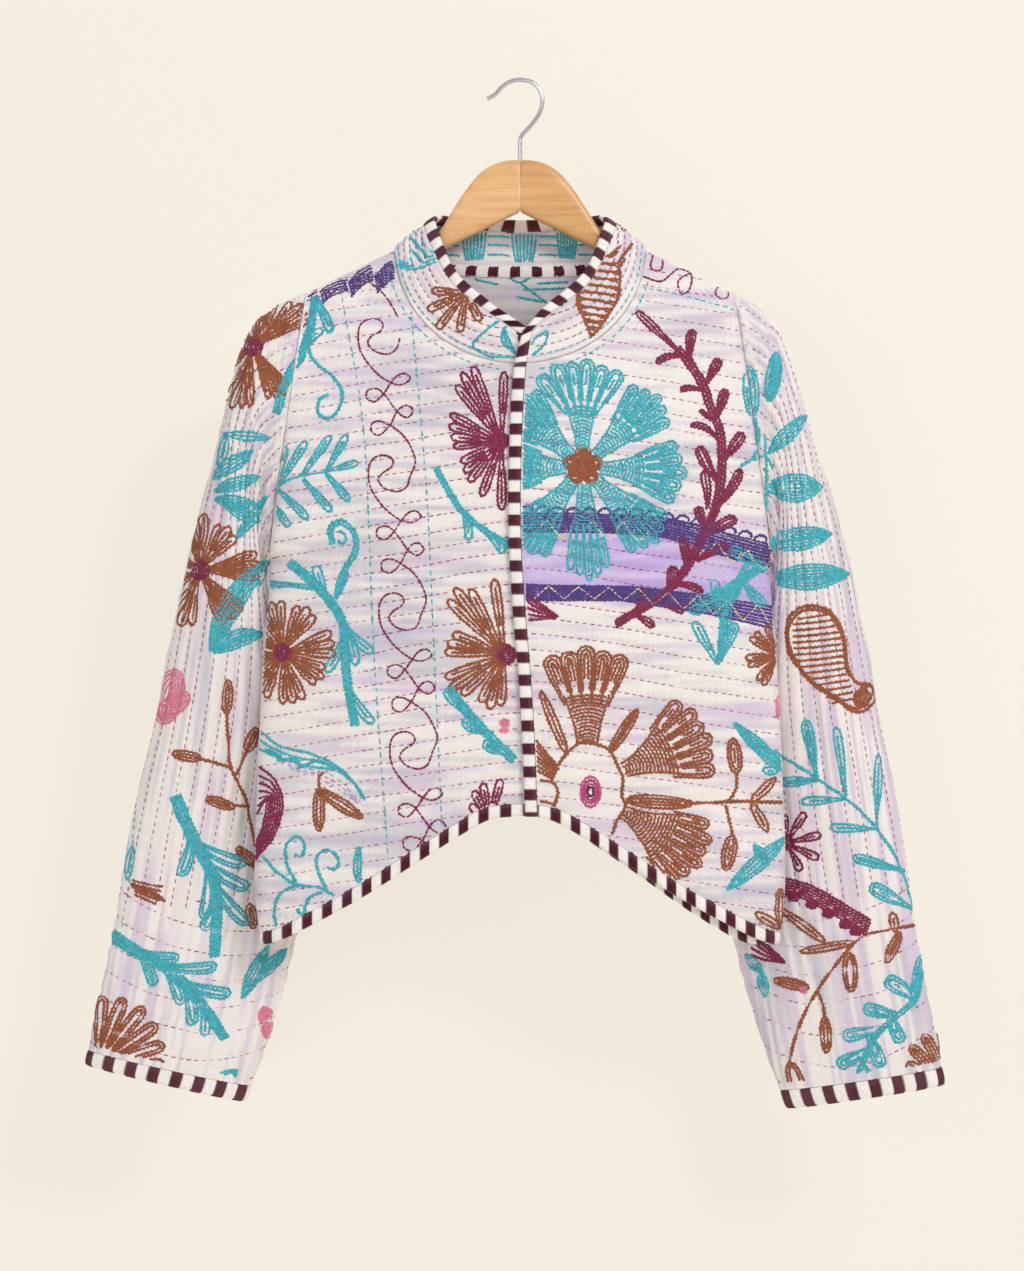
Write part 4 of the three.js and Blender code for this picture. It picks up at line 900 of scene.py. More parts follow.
def neckTape():
    # A flat striped tape over the neck seam, inside the back
    q = np.linspace(-0.31, 0.31, 130)
    side = np.where(q < 0, -1, 1)
    seam = neckSeam(q)
    above = unit(collarPoint(q, 0.25) - seam)
    z = seam[:, 2] - 4.75
    below = unit(bodyPoint("back", side, side * seam[:, 0], z) - seam)
    normal = unit(collarNormal(q, 0.1 + 0 * q) + bodyNormal("back", side, side * seam[:, 0], z))
    inward = cloth["wall"] + 0.35
    upper, lower = seam + above * 4.7 - normal * inward, seam + below * 4.7 - normal * inward
    middle = seam - normal * inward
    layers = [lower, middle, upper, upper - normal * 0.7, middle - normal * 1.3, lower - normal * 0.7]
    rings = np.stack(layers, 1)
    ids = np.arange(rings.shape[0] * 6).reshape(-1, 6)
    points = rings.reshape(-1, 3)
    faces = facingOut(points, tubeFaces(ids))
    shades = np.tile(colour(binding["cotton"]), (len(points), 1))
    tape = newObject("neck_seam_tape", points, faces, bindingCotton, shades, None, 60)
    size = lengthsAlong(middle)
    bars, skins, barShades = [], [], []
    pitch = binding["block"] / binding["threads"]
    for start in np.arange(3, size[-1] - 8, binding["period"]):
        for bar in range(binding["threads"]):
            s = start + np.array([bar, bar + 1.15]) * pitch
            high, low = along(size, upper - normal * 0.7, s), along(size, lower - normal * 0.7, s)
            half = along(size, middle - normal * 1.3, s)
            out = -unit(along(size, normal, s).mean(0))
            places = np.linspace(rng.uniform(0.0, 0.12), rng.uniform(0.88, 1.0), 5)
            left, right = (np.stack([np.interp(places, [0, 0.5, 1], [high[k][j], half[k][j], low[k][j]])
                                     for j in range(3)], -1) for k in (0, 1))
            arch = 0.2  # how far a thread's own edges stand off the tape
            top = (left + right) / 2 + out * (binding["threadHigh"] + arch)
            ridge = np.stack([left + out * arch, top, right + out * arch], 1)
            ids = len(bars) * 15 + np.arange(15).reshape(5, 3)
            bars.append(ridge.reshape(-1, 3))
            skins += barFaces(ids)
            barShades.append(np.tile(colour(binding["maroon"]) * rng.uniform(0.8, 1.3), (15, 1)))
    threads = newObject("neck_seam_tape_threads", np.concatenate(bars), np.concatenate(skins), satinThread,
                        np.concatenate(barShades), None, 70)
    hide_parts("binding_neck_inside")
    return [tape, threads]


bindings["neck"] = neckTape()
print("bindings done")

# The hanger keeps its solids; the arms and the wire are made again, smoother
crownTable = [(0, -62.4, -104), (10, -62.9, -109), (20, -65.6, -114), (29, -70.6, -118.5),
              (37, -78.5, -122.5), (45, -89, -126.5), (54, -103, -131), (64, -118.5, -137),
              (80, -130.5, -146), (101, -140, -154)]
hookTable = [(0, -80), (0, -64), (0, -50), (1, -43.5), (8.5, -35), (15.5, -25), (18, -15), (15.5, -6), (9, 0),
             (0, 1.8), (-8, 0.2), (-15, -4.5), (-20, -10), (-26.5, -13.5)]
hanger = {"halfThick": 6.5, "tipHalfThick": 5, "clear": 3.3, "tipDrop": 2.5, "tipX": 181, "wire": 1.8}
crownTop, crownBottom = columnCurve(crownTable, 1), columnCurve(crownTable, 2)


def hangerArm(side, material):
    x = np.concatenate([[0.15], np.linspace(1.5, 60, 40), np.linspace(63, 170, 36),
                        np.linspace(172, 181, 10)])
    free = x <= 101
    run = (x - 101) / (hanger["tipX"] - 101)
    slopeTop = ridgeZ(x) - hanger["clear"] - hanger["tipDrop"] * smooth((x - 140) / 40)
    top = np.where(free, crownTop(x), slopeTop)
    bottom = np.where(free, crownBottom(x), slopeTop - 14 * (1 - 0.12 * run))
    rounding = np.sqrt(np.clip((hanger["tipX"] + 1.5 - x) / 9, 0.03, 1))
    rounding[0] *= 0.93
    thin = smooth((x - 45) / 40)
    thick = (hanger["halfThick"] + (hanger["tipHalfThick"] - hanger["halfThick"]) * thin) * rounding
    high = (top - bottom) / 2 * rounding
    power = (3.2 - thin)[:, None]
    angle = np.linspace(0, 2 * np.pi, 33)[:-1]
    c, s = np.cos(angle), np.sin(angle)
    y = np.sign(c) * np.abs(c) ** (2 / power) * thick[:, None]
    z = ((top + bottom) / 2)[:, None] + np.sign(s) * np.abs(s) ** (2 / power) * high[:, None]
    points = np.stack([side * x[:, None] + 0 * y, y, z], -1)
    ids = np.arange(len(x) * 32).reshape(-1, 32)
    faces = tubeFaces(ids)
    if side == 1:
        faces = faces[:, ::-1]
    return newObject("wooden_arm_" + ("left" if side == 1 else "right"), points.reshape(-1, 3), faces,
                     material)


def hookWire(material):
    rough = np.array(hookTable, float)
    points = []
    for k in range(len(rough) - 1):
        p0, p1, p2 = rough[max(k - 1, 0)], rough[k], rough[k + 1]
        p3 = rough[min(k + 2, len(rough) - 1)]
        for t in np.linspace(0, 1, 8, endpoint=False):
            points.append(0.5 * (2 * p1 + (p2 - p0) * t + (2 * p0 - 5 * p1 + 4 * p2 - p3) * t ** 2
                                 + (3 * p1 - p0 - 3 * p2 + p3) * t ** 3))
    line = np.array(points + [rough[-1]])
    tangent = unit(np.gradient(line, axis=0))
    count = 20
    angle = np.arange(count) / count * 2 * np.pi
    radius = np.full(len(line), hanger["wire"])
    radius[-1] *= 0.55
    radius[-2] *= 0.9
    across = np.stack([tangent[:, 1], 0 * tangent[:, 0], -tangent[:, 0]], -1)
    centre = np.stack([line[:, 0], 0 * line[:, 0], line[:, 1]], -1)
    ring = centre[:, None] + radius[:, None, None] * (np.sin(angle)[None, :, None] * across[:, None]
                                                      + np.cos(angle)[None, :, None] * np.array([0, 1, 0]))
    ids = np.arange(len(line) * count).reshape(-1, count)
    return newObject("hook_wire", ring.reshape(-1, 3), tubeFaces(ids), material)


rightArm = hangerArm(-1, woodMaterial("paleWood", "E6B981", "D39B60"))
leftArm = hangerArm(1, woodMaterial("warmWood", "DDAA6E", "C68B50"))
hook = hookWire(steelMaterial())
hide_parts("hanger_arm_right")
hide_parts("hanger_arm_left")
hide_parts("hanger_hook")
print("hanger done")


# Stitches: each one is a small raised grain of thread laid on the cloth
thread = {"running": dict(step=6.0, long=5.0, wide=1.35, high=0.75, slant=0.04, shift=0.0),
          "chain": dict(step=1.75, long=3.0, wide=2.5, high=0.95, slant=0.3, shift=0.22),
          "rope": dict(step=1.8, long=3.2, wide=3.1, high=1.1, slant=0.3, shift=0.3),
          "line": dict(step=3.4, long=4.4, wide=1.9, high=1.0, slant=0.06, shift=0.0),
          "knot": dict(step=2.0, long=2.8, wide=2.3, high=0.95, slant=0.6, shift=0.2)}


class Needlework:
    # Gathers rows of stitches on one surface and makes them into one mesh
    def __init__(self, name, surface, chart):
        self.name, self.surface, self.chart = name, surface, chart
        self.centres, self.fronts, self.normals, self.sizes, self.shades = [], [], [], [], []

    def sew(self, line, shade, kind):
        # A row along a line on the chart, broken where the chart leaves the cloth
        line = np.asarray(line, float)
        if len(line) > 1:
            size = lengthsAlong(line)
            if size[-1] > 0.5:
                line = along(size, line, np.linspace(0, size[-1], max(3, int(size[-1] / 1.6))))
                u, v, inside = self.chart(line[:, 0], line[:, 1])
                self.sewOn(u, v, inside, shade, kind)

    def sewOn(self, u, v, inside, shade, kind):
        for span in np.split(np.arange(len(u)), np.where(np.diff(inside.astype(int)) != 0)[0] + 1):
            if inside[span[0]] and len(span) > 2:
                self.row(u[span], v[span], shade, kind)

    def row(self, u, v, shade, kind):
        p, n = self.surface(u, v)
        size = lengthsAlong(p)
        k = thread[kind]
        at = np.arange(k["step"] * 0.5, size[-1], k["step"])
        if len(at):
            at = at + rng.uniform(-0.1, 0.1, len(at)) * k["step"]
            ahead, behind = np.minimum(at + 0.6, size[-1]), np.maximum(at - 0.6, 0)
            self.centres.append(along(size, p, at))
            self.fronts.append(unit(along(size, p, ahead) - along(size, p, behind)))
            self.normals.append(unit(along(size, n, at)))
            turn = 1 - 2 * (np.arange(len(at)) % 2)[:, None] * (k["shift"] > 0)
            sizes = np.array([[k["long"], k["wide"], k["high"], k["slant"], k["shift"]]])
            sizes = sizes * rng.uniform(0.88, 1.12, (len(at), 1))
            sizes[:, 3:] *= turn
            self.sizes.append(sizes)
            self.shades.append(colour(shade) * rng.uniform(0.72, 1.12, (len(at), 1)))

    def make(self, material):
        c, f, n = (np.concatenate(v) for v in (self.centres, self.fronts, self.normals))
        size, shade = np.concatenate(self.sizes), np.concatenate(self.shades)
        f = unit(f - n * np.einsum("ij,ij->i", f, n)[:, None])
        s = np.cross(n, f)
        c = c + s * size[:, 4:]
        cosine, sine = np.cos(size[:, 3:4]), np.sin(size[:, 3:4])
        f, s = f * cosine + s * sine, s * cosine - f * sine
        long, wide, high = (size[:, k:k + 1] for k in range(3))
        low = -0.2
        shape = [(-0.5, 0, low), (-0.28, 0.5, low), (-0.28, -0.5, low), (0.28, 0.5, low), (0.28, -0.5, low),
                 (0.5, 0, low), (-0.2, 0, 1), (0.2, 0, 1)]
        corners = np.stack([c + f * long * a + s * wide * b + n * (high if h == 1 else low) for a, b,
                            h in shape], 1)
        faces = np.array([(0, 6, 1), (0, 2, 6), (1, 6, 7), (1, 7, 3), (2, 4, 7), (2, 7, 6), (5, 3, 7),
                          (5, 7, 4)])
        allFaces = (faces[None] + 8 * np.arange(len(c))[:, None, None]).reshape(-1, 3)
        obj = newObject(self.name, corners.reshape(-1, 3), allFaces, material, np.repeat(shade, 8, 0), None,
                        85)
        print(self.name, len(c), "stitches", len(allFaces), "triangles")
        return obj


def bodyChart(face, side):
    # Which places of the body's chart lie on a panel, clear of its bound edges
    def chart(x, z):
        own = np.where(x < 0, -1, 1) if face == "back" else side
        out, far = own * x, np.abs(x)
        top = np.where(far < neck["halfWidth"], neckZ(face, far), ridgeZ(far)) - 2
        foot = hemZ(face, own, np.abs(out)) + hemRise(np.abs(out)) + 1
        inside = (z < top) & (z > foot) & (out < sideX(z) - 1.2)
        if face == "front":
            inside &= out > frontInnerX(side, z) + cloth["boundDepth"] + 1
        return x, z, inside
    return chart


def sleeveChart(side, behind=False):
    def chart(x, z):
        share, place, miss = sleevePlace(side, x, z, behind)
        return share, place, (miss < 1.5) & (place > 0.004) & (place < 0.983)
    return chart


def seen(p):
    # Where a point seems to lie, seen from the camera, on the plane under the hook
    share = eye["distance"] / (eye["distance"] + p[..., 1])
    return np.stack([eye["x"] + (p[..., 0] - eye["x"]) * share, eye["z"] + (p[..., 2] - eye["z"]) * share],
                    -1)


def lookedUp(point, q, up, limit, lowest=0.8):
    # A chart for a curved piece: finds the place on it that is seen at x and z
    q, up = (v.ravel() for v in np.meshgrid(q, up))
    shown = seen(point(q, up))
    height = collarHeight(q)

    def chart(x, z):
        off = (shown[None, :, 0] - x[:, None]) ** 2 + (shown[None, :, 1] - z[:, None]) ** 2
        near = np.argsort(off, axis=1)[:, :4]
        weight = 1 / (np.take_along_axis(off, near, 1) + 0.05)
        weight = weight / weight.sum(1, keepdims=True)
        place, h = (q[near] * weight).sum(1), (up[near] * weight).sum(1)
        tall = (height[near] * weight).sum(1)
        inside = (off.min(1) < 9) & (np.abs(place) < limit) & (h * tall > lowest)
        return place, h, inside & (h * tall < tall - cloth["boundDepth"] - 0.8)
    return chart


def collarChart(side):
    return lookedUp(collarPoint, side * np.linspace(0.3, 0.985, 150), np.linspace(0, 1, 40), 0.965)


def collarInsideChart():
    return lookedUp(collarPoint, np.linspace(-0.47, 0.47, 180), np.linspace(0, 1, 34), 0.46, 5.5)


def collarRowChart(s, h):
    # s runs round the neck seam from the middle of the back, h up from the seam, both in millimetres
    far = np.abs(s)
    q = np.sign(s) * np.where(far < 110, far / 220, 0.5 + (far - 110) / 304)
    height = collarHeight(q)
    return q, h / height, (np.abs(q) < 0.96) & (h > 0.8) & (h < height - cloth["boundDepth"] - 0.8)


def behindChart(x, z):
    # The inside of the back, seen from the front through the neck
    share = 1 + bodyDepth["back"] / eye["distance"]
    return bodyChart("back", 0)(eye["x"] + (x - eye["x"]) * share, eye["z"] + (z - eye["z"]) * share)


quiltThread = ["AE4F80", "9C4C80", "B5608A", "A84872", "A0628C"]


def bodyRows(work):
    pitch = quilting["pitch"]
    x = np.arange(-212, 213, 2.0)
    for k in range(int(-720 / pitch), int(-120 / pitch)):
        z = np.full_like(x, k * pitch)
        for _ in range(6):
            z = k * pitch - grain(np.abs(x), 0) - 1.1 * noise(np.abs(x) / 42 + 3, z / 33)
        work.sewOn(*work.chart(x, z), quiltThread[k % 5], "running")


def sleeveRows(work):
    alongs = np.linspace(0.012, sleeve["crossFrom"] + 0.02, 260)
    for k in range(sleeve["lines"]):
        share = np.full_like(alongs, k / sleeve["lines"])
        for _ in range(4):
            share = (k - 0.09 * noise(share * 9 + 1, alongs * 14)) / sleeve["lines"]
        work.sewOn(share, alongs, alongs > 0, quiltThread[k % 5], "running")
    share = np.linspace(0, 1, 200)
    pitch = quilting["pitch"] / sleeve["length"]
    for k in range(1, 12):
        at = np.full_like(share, 0.9)
        for _ in range(5):
            wobble = 0.09 * noise(share * 9 + 1, at * 14)
            at = 1 - (k - 0.9 * np.cos((share * 2 % 1.0 - 0.5) * np.pi) - wobble) * pitch
        work.sewOn(share, at, (at > sleeve["crossFrom"] + 0.01) & (at < 0.984), quiltThread[k % 5], "running")


def collarRows(work):
    s = np.linspace(-250, 250, 260)
    for k, h in enumerate((13, 20.5, 28, 35.5)):
        work.sewOn(*collarRowChart(s, np.full_like(s, h)), quiltThread[k], "running")
    for sign in (-1, 1):
        work.sewOn(*collarRowChart(sign * np.linspace(60, 258, 110), np.full(110, 6.4)), teal, "running")


def seamRows(work, side):
    # Turquoise running stitch on the front, just under the neck seam
    x = np.linspace(14, 98, 80)
    work.sewOn(*work.chart(side * x * 1.045, neckZ("front", x) - 5.5), teal, "running")


# Needlework charts. Places are in millimetres on the jacket as seen from the front: x, then z.
teal, brown, maroon, purple, pale, pink = "3DB2BF", "9A5026", "850F43", "4E3380", "E6DBAA", "E2839C"


def polar(centre, angle, reach):
    a = math.radians(angle)
    return np.array([centre[0] + reach * math.cos(a), centre[1] + reach * math.sin(a)])


def bow(start, end, bend=0.0, steps=24):
    start, end = np.asarray(start, float), np.asarray(end, float)
    t = np.linspace(0, 1, steps)[:, None]
    run = end - start
    return start + run * t + np.array([-run[1], run[0]]) * bend * 4 * t * (1 - t)


def flowing(points, steps=9):
    # A smooth line through points
    p = np.asarray(points, float)
    p = np.concatenate([[2 * p[0] - p[1]], p, [2 * p[-1] - p[-2]]])
    t = np.linspace(0, 1, steps, endpoint=False)[:, None]
    parts = [0.5 * (2 * b + (c - a) * t + (2 * a - 5 * b + 4 * c - d) * t ** 2
                    + (3 * b - a - 3 * c + d) * t ** 3) for a, b, c, d in zip(p, p[1:], p[2:], p[3:])]
    return np.concatenate(parts + [p[-2:-1]])


def offsetLine(line, shift):
    run = unit(np.gradient(line, axis=0))
    return line + np.stack([-run[:, 1], run[:, 0]], -1) * np.asarray(shift)[..., None]


def halfWidth(form, t, foot):
    if form == "leaf":
        return np.sin(np.pi * np.clip(t, 0, 1)) ** 0.8
    if form == "oval":
        return np.sqrt(np.clip(1 - (2 * t - 1) ** 2, 0, 1))
    return (foot + (1 - foot) * smooth(t / 0.7)) * np.sqrt(np.clip(1 - (np.maximum(0, t - 0.86) / 0.14) ** 2,
                                                                   0, 1))


def petal(work, base, tip, width, shade, form="tongue", rows=2, bend=0.0, foot=0.25, kind="chain"):
    # Nested outlines that fill a petal, leaf or bud from its edge inwards
    base, tip = np.asarray(base, float), np.asarray(tip, float)
    run = tip - base
    size = math.hypot(*run)
    side = np.array([-run[1], run[0]]) / size
    for k in range(rows):
        half = width / 2 - 1.2 - 2.55 * k
        end = 1 - 2.5 * k / size
        start = 0.0 if k == 0 else (0.22 * k if form == "tongue" else 2.6 * k / size)
        if end - start < 0.15:
            return
        if half < 0.9:
            t = np.linspace(start + 0.1, end - 0.08, 12)
            across = 0 * t
        else:
            s = start + (end - start) * np.sin(np.linspace(0, np.pi / 2, 26))
            t = np.concatenate([s, s[-2::-1]])
            own = halfWidth(form, (t - start * (form != "tongue")) / (end - start * (form != "tongue")), foot)
            across = half * own * np.concatenate([np.ones(26), -np.ones(25)])
        line = base + run * t[:, None] + side * (across + bend * size * 4 * t * (1 - t))[:, None]
        work.sew(line, shade, kind)
        if half < 0.9:
            return


def petals(work, table, shade, form="tongue", rows=2, foot=0.25):
    # Each row: x and z of the base and of the tip, the width, and the bend if it has one
    for x, z, tipX, tipZ, width, *bend in table:
        petal(work, (x, z), (tipX, tipZ), width, shade, form, rows, *(bend or [0.0]), foot)


def disc(work, centre, radius, shade, squash=1.0):
    a = np.linspace(0, 2 * np.pi * radius / 2.1, int(12 * radius))
    r = np.linspace(0.6, radius - 0.8, len(a))
    work.sew(np.stack([centre[0] + r * squash * np.cos(a), centre[1] + r * np.sin(a)], -1), shade, "chain")


def spiral(work, centre, outer, inner, start, turns, shade, kind="chain"):
    a = np.radians(start) + np.linspace(0, 2 * np.pi * turns, 60)
    r = np.linspace(outer, inner, 60)
    work.sew(np.stack([centre[0] + r * np.cos(a), centre[1] + r * np.sin(a)], -1), shade, kind)


def flower(work, centre, outer, angles, shade, heart, heartShade, span=44, loops=3, inner=0.14, lengths=None):
    # Petals made of side-by-side thread loops that fan out from a heart
    for number, angle in enumerate(angles):
        reach = outer * (lengths[number % len(lengths)] if lengths else 1)
        for j in range(loops):
            off = j - (loops - 1) / 2
            turn = angle + off * span / loops * 0.95
            end = reach * (1 - 0.035 * off * off - 0.03 * ((j + number) % 2))
            width = math.radians(span / loops) * end
            petal(work, polar(centre, angle + off * span / loops * 0.6, outer * inner),
                  polar(centre, turn, end), width, shade, rows=2, foot=0.3)
    if heart:
        disc(work, centre, heart, heartShade)


def loops(work, centre, petals, width, shade, heart=0, heartShade=None, start=6):
    # A flower of separate long thread loops: each has its angle and length
    for angle, size in petals:
        petal(work, polar(centre, angle, start), polar(centre, angle, size), width, shade, rows=2, foot=0.3)
    if heart:
        disc(work, centre, heart, heartShade)


def fan(work, base, angle, reach, waist, widths, fingers, shade, spread=1.0):
    # A fan petal: rows across its trapezoid foot, then long thread loops for fingers
    low, mid, top = widths
    ax, side = polar((0, 0), angle, 1), polar((0, 0), angle + 90, 1)

    def place(r, c):
        return np.asarray(base, float) + ax * r + side * c

    for sign in (-1, 1):
        r = np.linspace(0, waist, 14)
        c = low / 2 + (mid - low) / 2 * (r / waist) ** 1.6
        work.sew(np.array([place(a, sign * b) for a, b in zip(r, c)]), shade, "chain")
    for r in np.arange(1.2, waist, 2.7):
        c = low / 2 + (mid - low) / 2 * (r / waist) ** 1.6 - 1.8
        t = np.linspace(-1, 1, 11)
        work.sew(np.array([place(r + 2.2 * (1 - s * s) - 1.0, s * c) for s in t]), shade, "chain")
    for k in range(fingers):
        share = (k - (fingers - 1) / 2) / fingers * 2
        foot = place(waist - 6, share * (mid / 2) * 0.95)
        end = reach * (1 - 0.2 * spread * share * share - 0.03 * (k % 2))
        tip = place(end, share * top / 2)
        petal(work, foot, tip, top / fingers * 1.08, shade, rows=3, foot=min(0.95, mid / top * 1.15))


def stem(work, points, shade, rows=1, taper=0.0, kind="rope"):
    line = flowing(points) if len(points) > 2 else bow(points[0], points[1])
    t = np.linspace(0, 1, len(line))
    for k in range(rows):
        shift = (k - (rows - 1) / 2) * 2.7 * (1 - taper * t)
        work.sew(offsetLine(line, shift), shade, kind)
    return line


def stems(work, shade, *lines):
    for line in lines:
        stem(work, line, shade)


def sprig(work, points, leaves, shade, rows=1, taper=0.0, leafRows=2, form="tongue"):
    # A stem with leaves: each has its place on the stem, side, length, width and angle off the stem
    line = stem(work, points, shade, rows, taper)
    run = unit(np.gradient(line, axis=0))
    for at, side, size, width, off in leaves:
        k = int(at * (len(line) - 1))
        heading = math.degrees(math.atan2(run[k][1], run[k][0])) + side * off
        petal(work, line[k], polar(line[k], heading, size), width, shade, form, leafRows, bend=-0.06 * side,
              foot=0.35)


def between(work, first, second, shade, pitch=2.7, kind="chain"):
    # Rows that fill the room between two lines
    a, b = (resampledLine(np.asarray(v, float), 60) for v in (first, second))
    count = max(2, int(np.linalg.norm(a - b, axis=1).mean() / pitch))
    for k in range(count + 1):
        gap = np.linalg.norm(a - b, axis=1) > 1.2
        line = a + (b - a) * (k / count)
        if k % 2:
            line = line[gap]
        work.sew(line, shade, kind)


def resampledLine(line, count):
    size = lengthsAlong(line)
    return along(size, line, np.linspace(0, size[-1], count))


# One repeat of the running scroll, and how far down and across the next one lies
scrollUnit = [(9, 0), (5.7, -9), (-1.6, -12.6), (-11.4, -9.8), (-16.3, -3.3), (-13, 2.4), (-6.5, 6.5),
              (-4.6, 11.4), (-8.1, 15.5), (-14.7, 16.3), (-21.2, 13), (-24.1, 4.9), (-22.8, -8.2),
              (-16.3, -19.6), (-8.2, -28.5), (1.6, -35), (9.8, -37), (17.1, -32.6), (13.9, -28), (7.3, -29.3),
              (1.6, -36), (-3.3, -43.2), (-10.6, -50.2), (-17.1, -47.3), (-16.3, -41.6), (-9.8, -40),
              (-3.3, -44.3), (7.3, -58.4), (14.7, -62.8), (19.6, -57.9), (15.5, -53.1), (9.8, -54.6),
              (5.7, -60.3), (1.6, -68.5), (-6.5, -76.6), (-13, -74.2), (-13, -67.6), (-6.5, -65.7),
              (1.6, -69.3), (11.4, -76.6), (17.9, -86.4), (21.5, -97.8)]


def scroll(work, start, repeats, drift, shade):
    points = []
    for k in range(repeats):
        points += [(start[0] + x + drift[0] * k, start[1] + z + drift[1] * k) for x, z in scrollUnit]
    work.sew(flowing(points, 8), shade, "line")


def drawRightShoulder(w):
    # What crosses the wearer's right armhole seam, on front and sleeve alike
    sprig(w, [(-192.8, -267.2), (-185.6, -242.4), (-172, -216), (-165.6, -194.4), (-163.2, -172.8)],
          [(0.22, -1, 34, 8, 12), (0.5, -1, 22, 8, 20), (0.98, -1, 30, 8, 150)], teal, 3, 0.3)
    stem(w, [(-165.6, -198.4), (-167.2, -216), (-161.6, -227.2), (-149.6, -236.8), (-140.8, -249.6),
             (-143.2, -264), (-152, -271.2), (-160, -266.4), (-158.4, -256), (-152, -252.8)], teal, 1)
    petal(w, (-162.4, -172.8), (-149.6, -201.6), 9, teal)
    flower(w, (-212, -214), 47, [38, 75, 118, 165, 212, 256, 300], brown, 9.5, maroon, 34, 4, 0.16,
           [1.12, 1.1, 1, 0.95])
    stem(w, [(-209.6, -401.6), (-188, -402.4), (-163.2, -404.8)], teal, 2)


def drawLeftShoulder(w):
    # What crosses the wearer's left armhole seam
    petals(w, [(184, -269.6, 181.6, -229.6, 14), (196.8, -257.6, 203.2, -219.2, 12)], teal, "oval", 4)
    stems(w, teal, [(185.6, -270.4), (188.8, -286.4), (184, -302.4), (174.4, -308.8)],
          [(184, -304), (194.4, -300.8), (200, -310.4)])


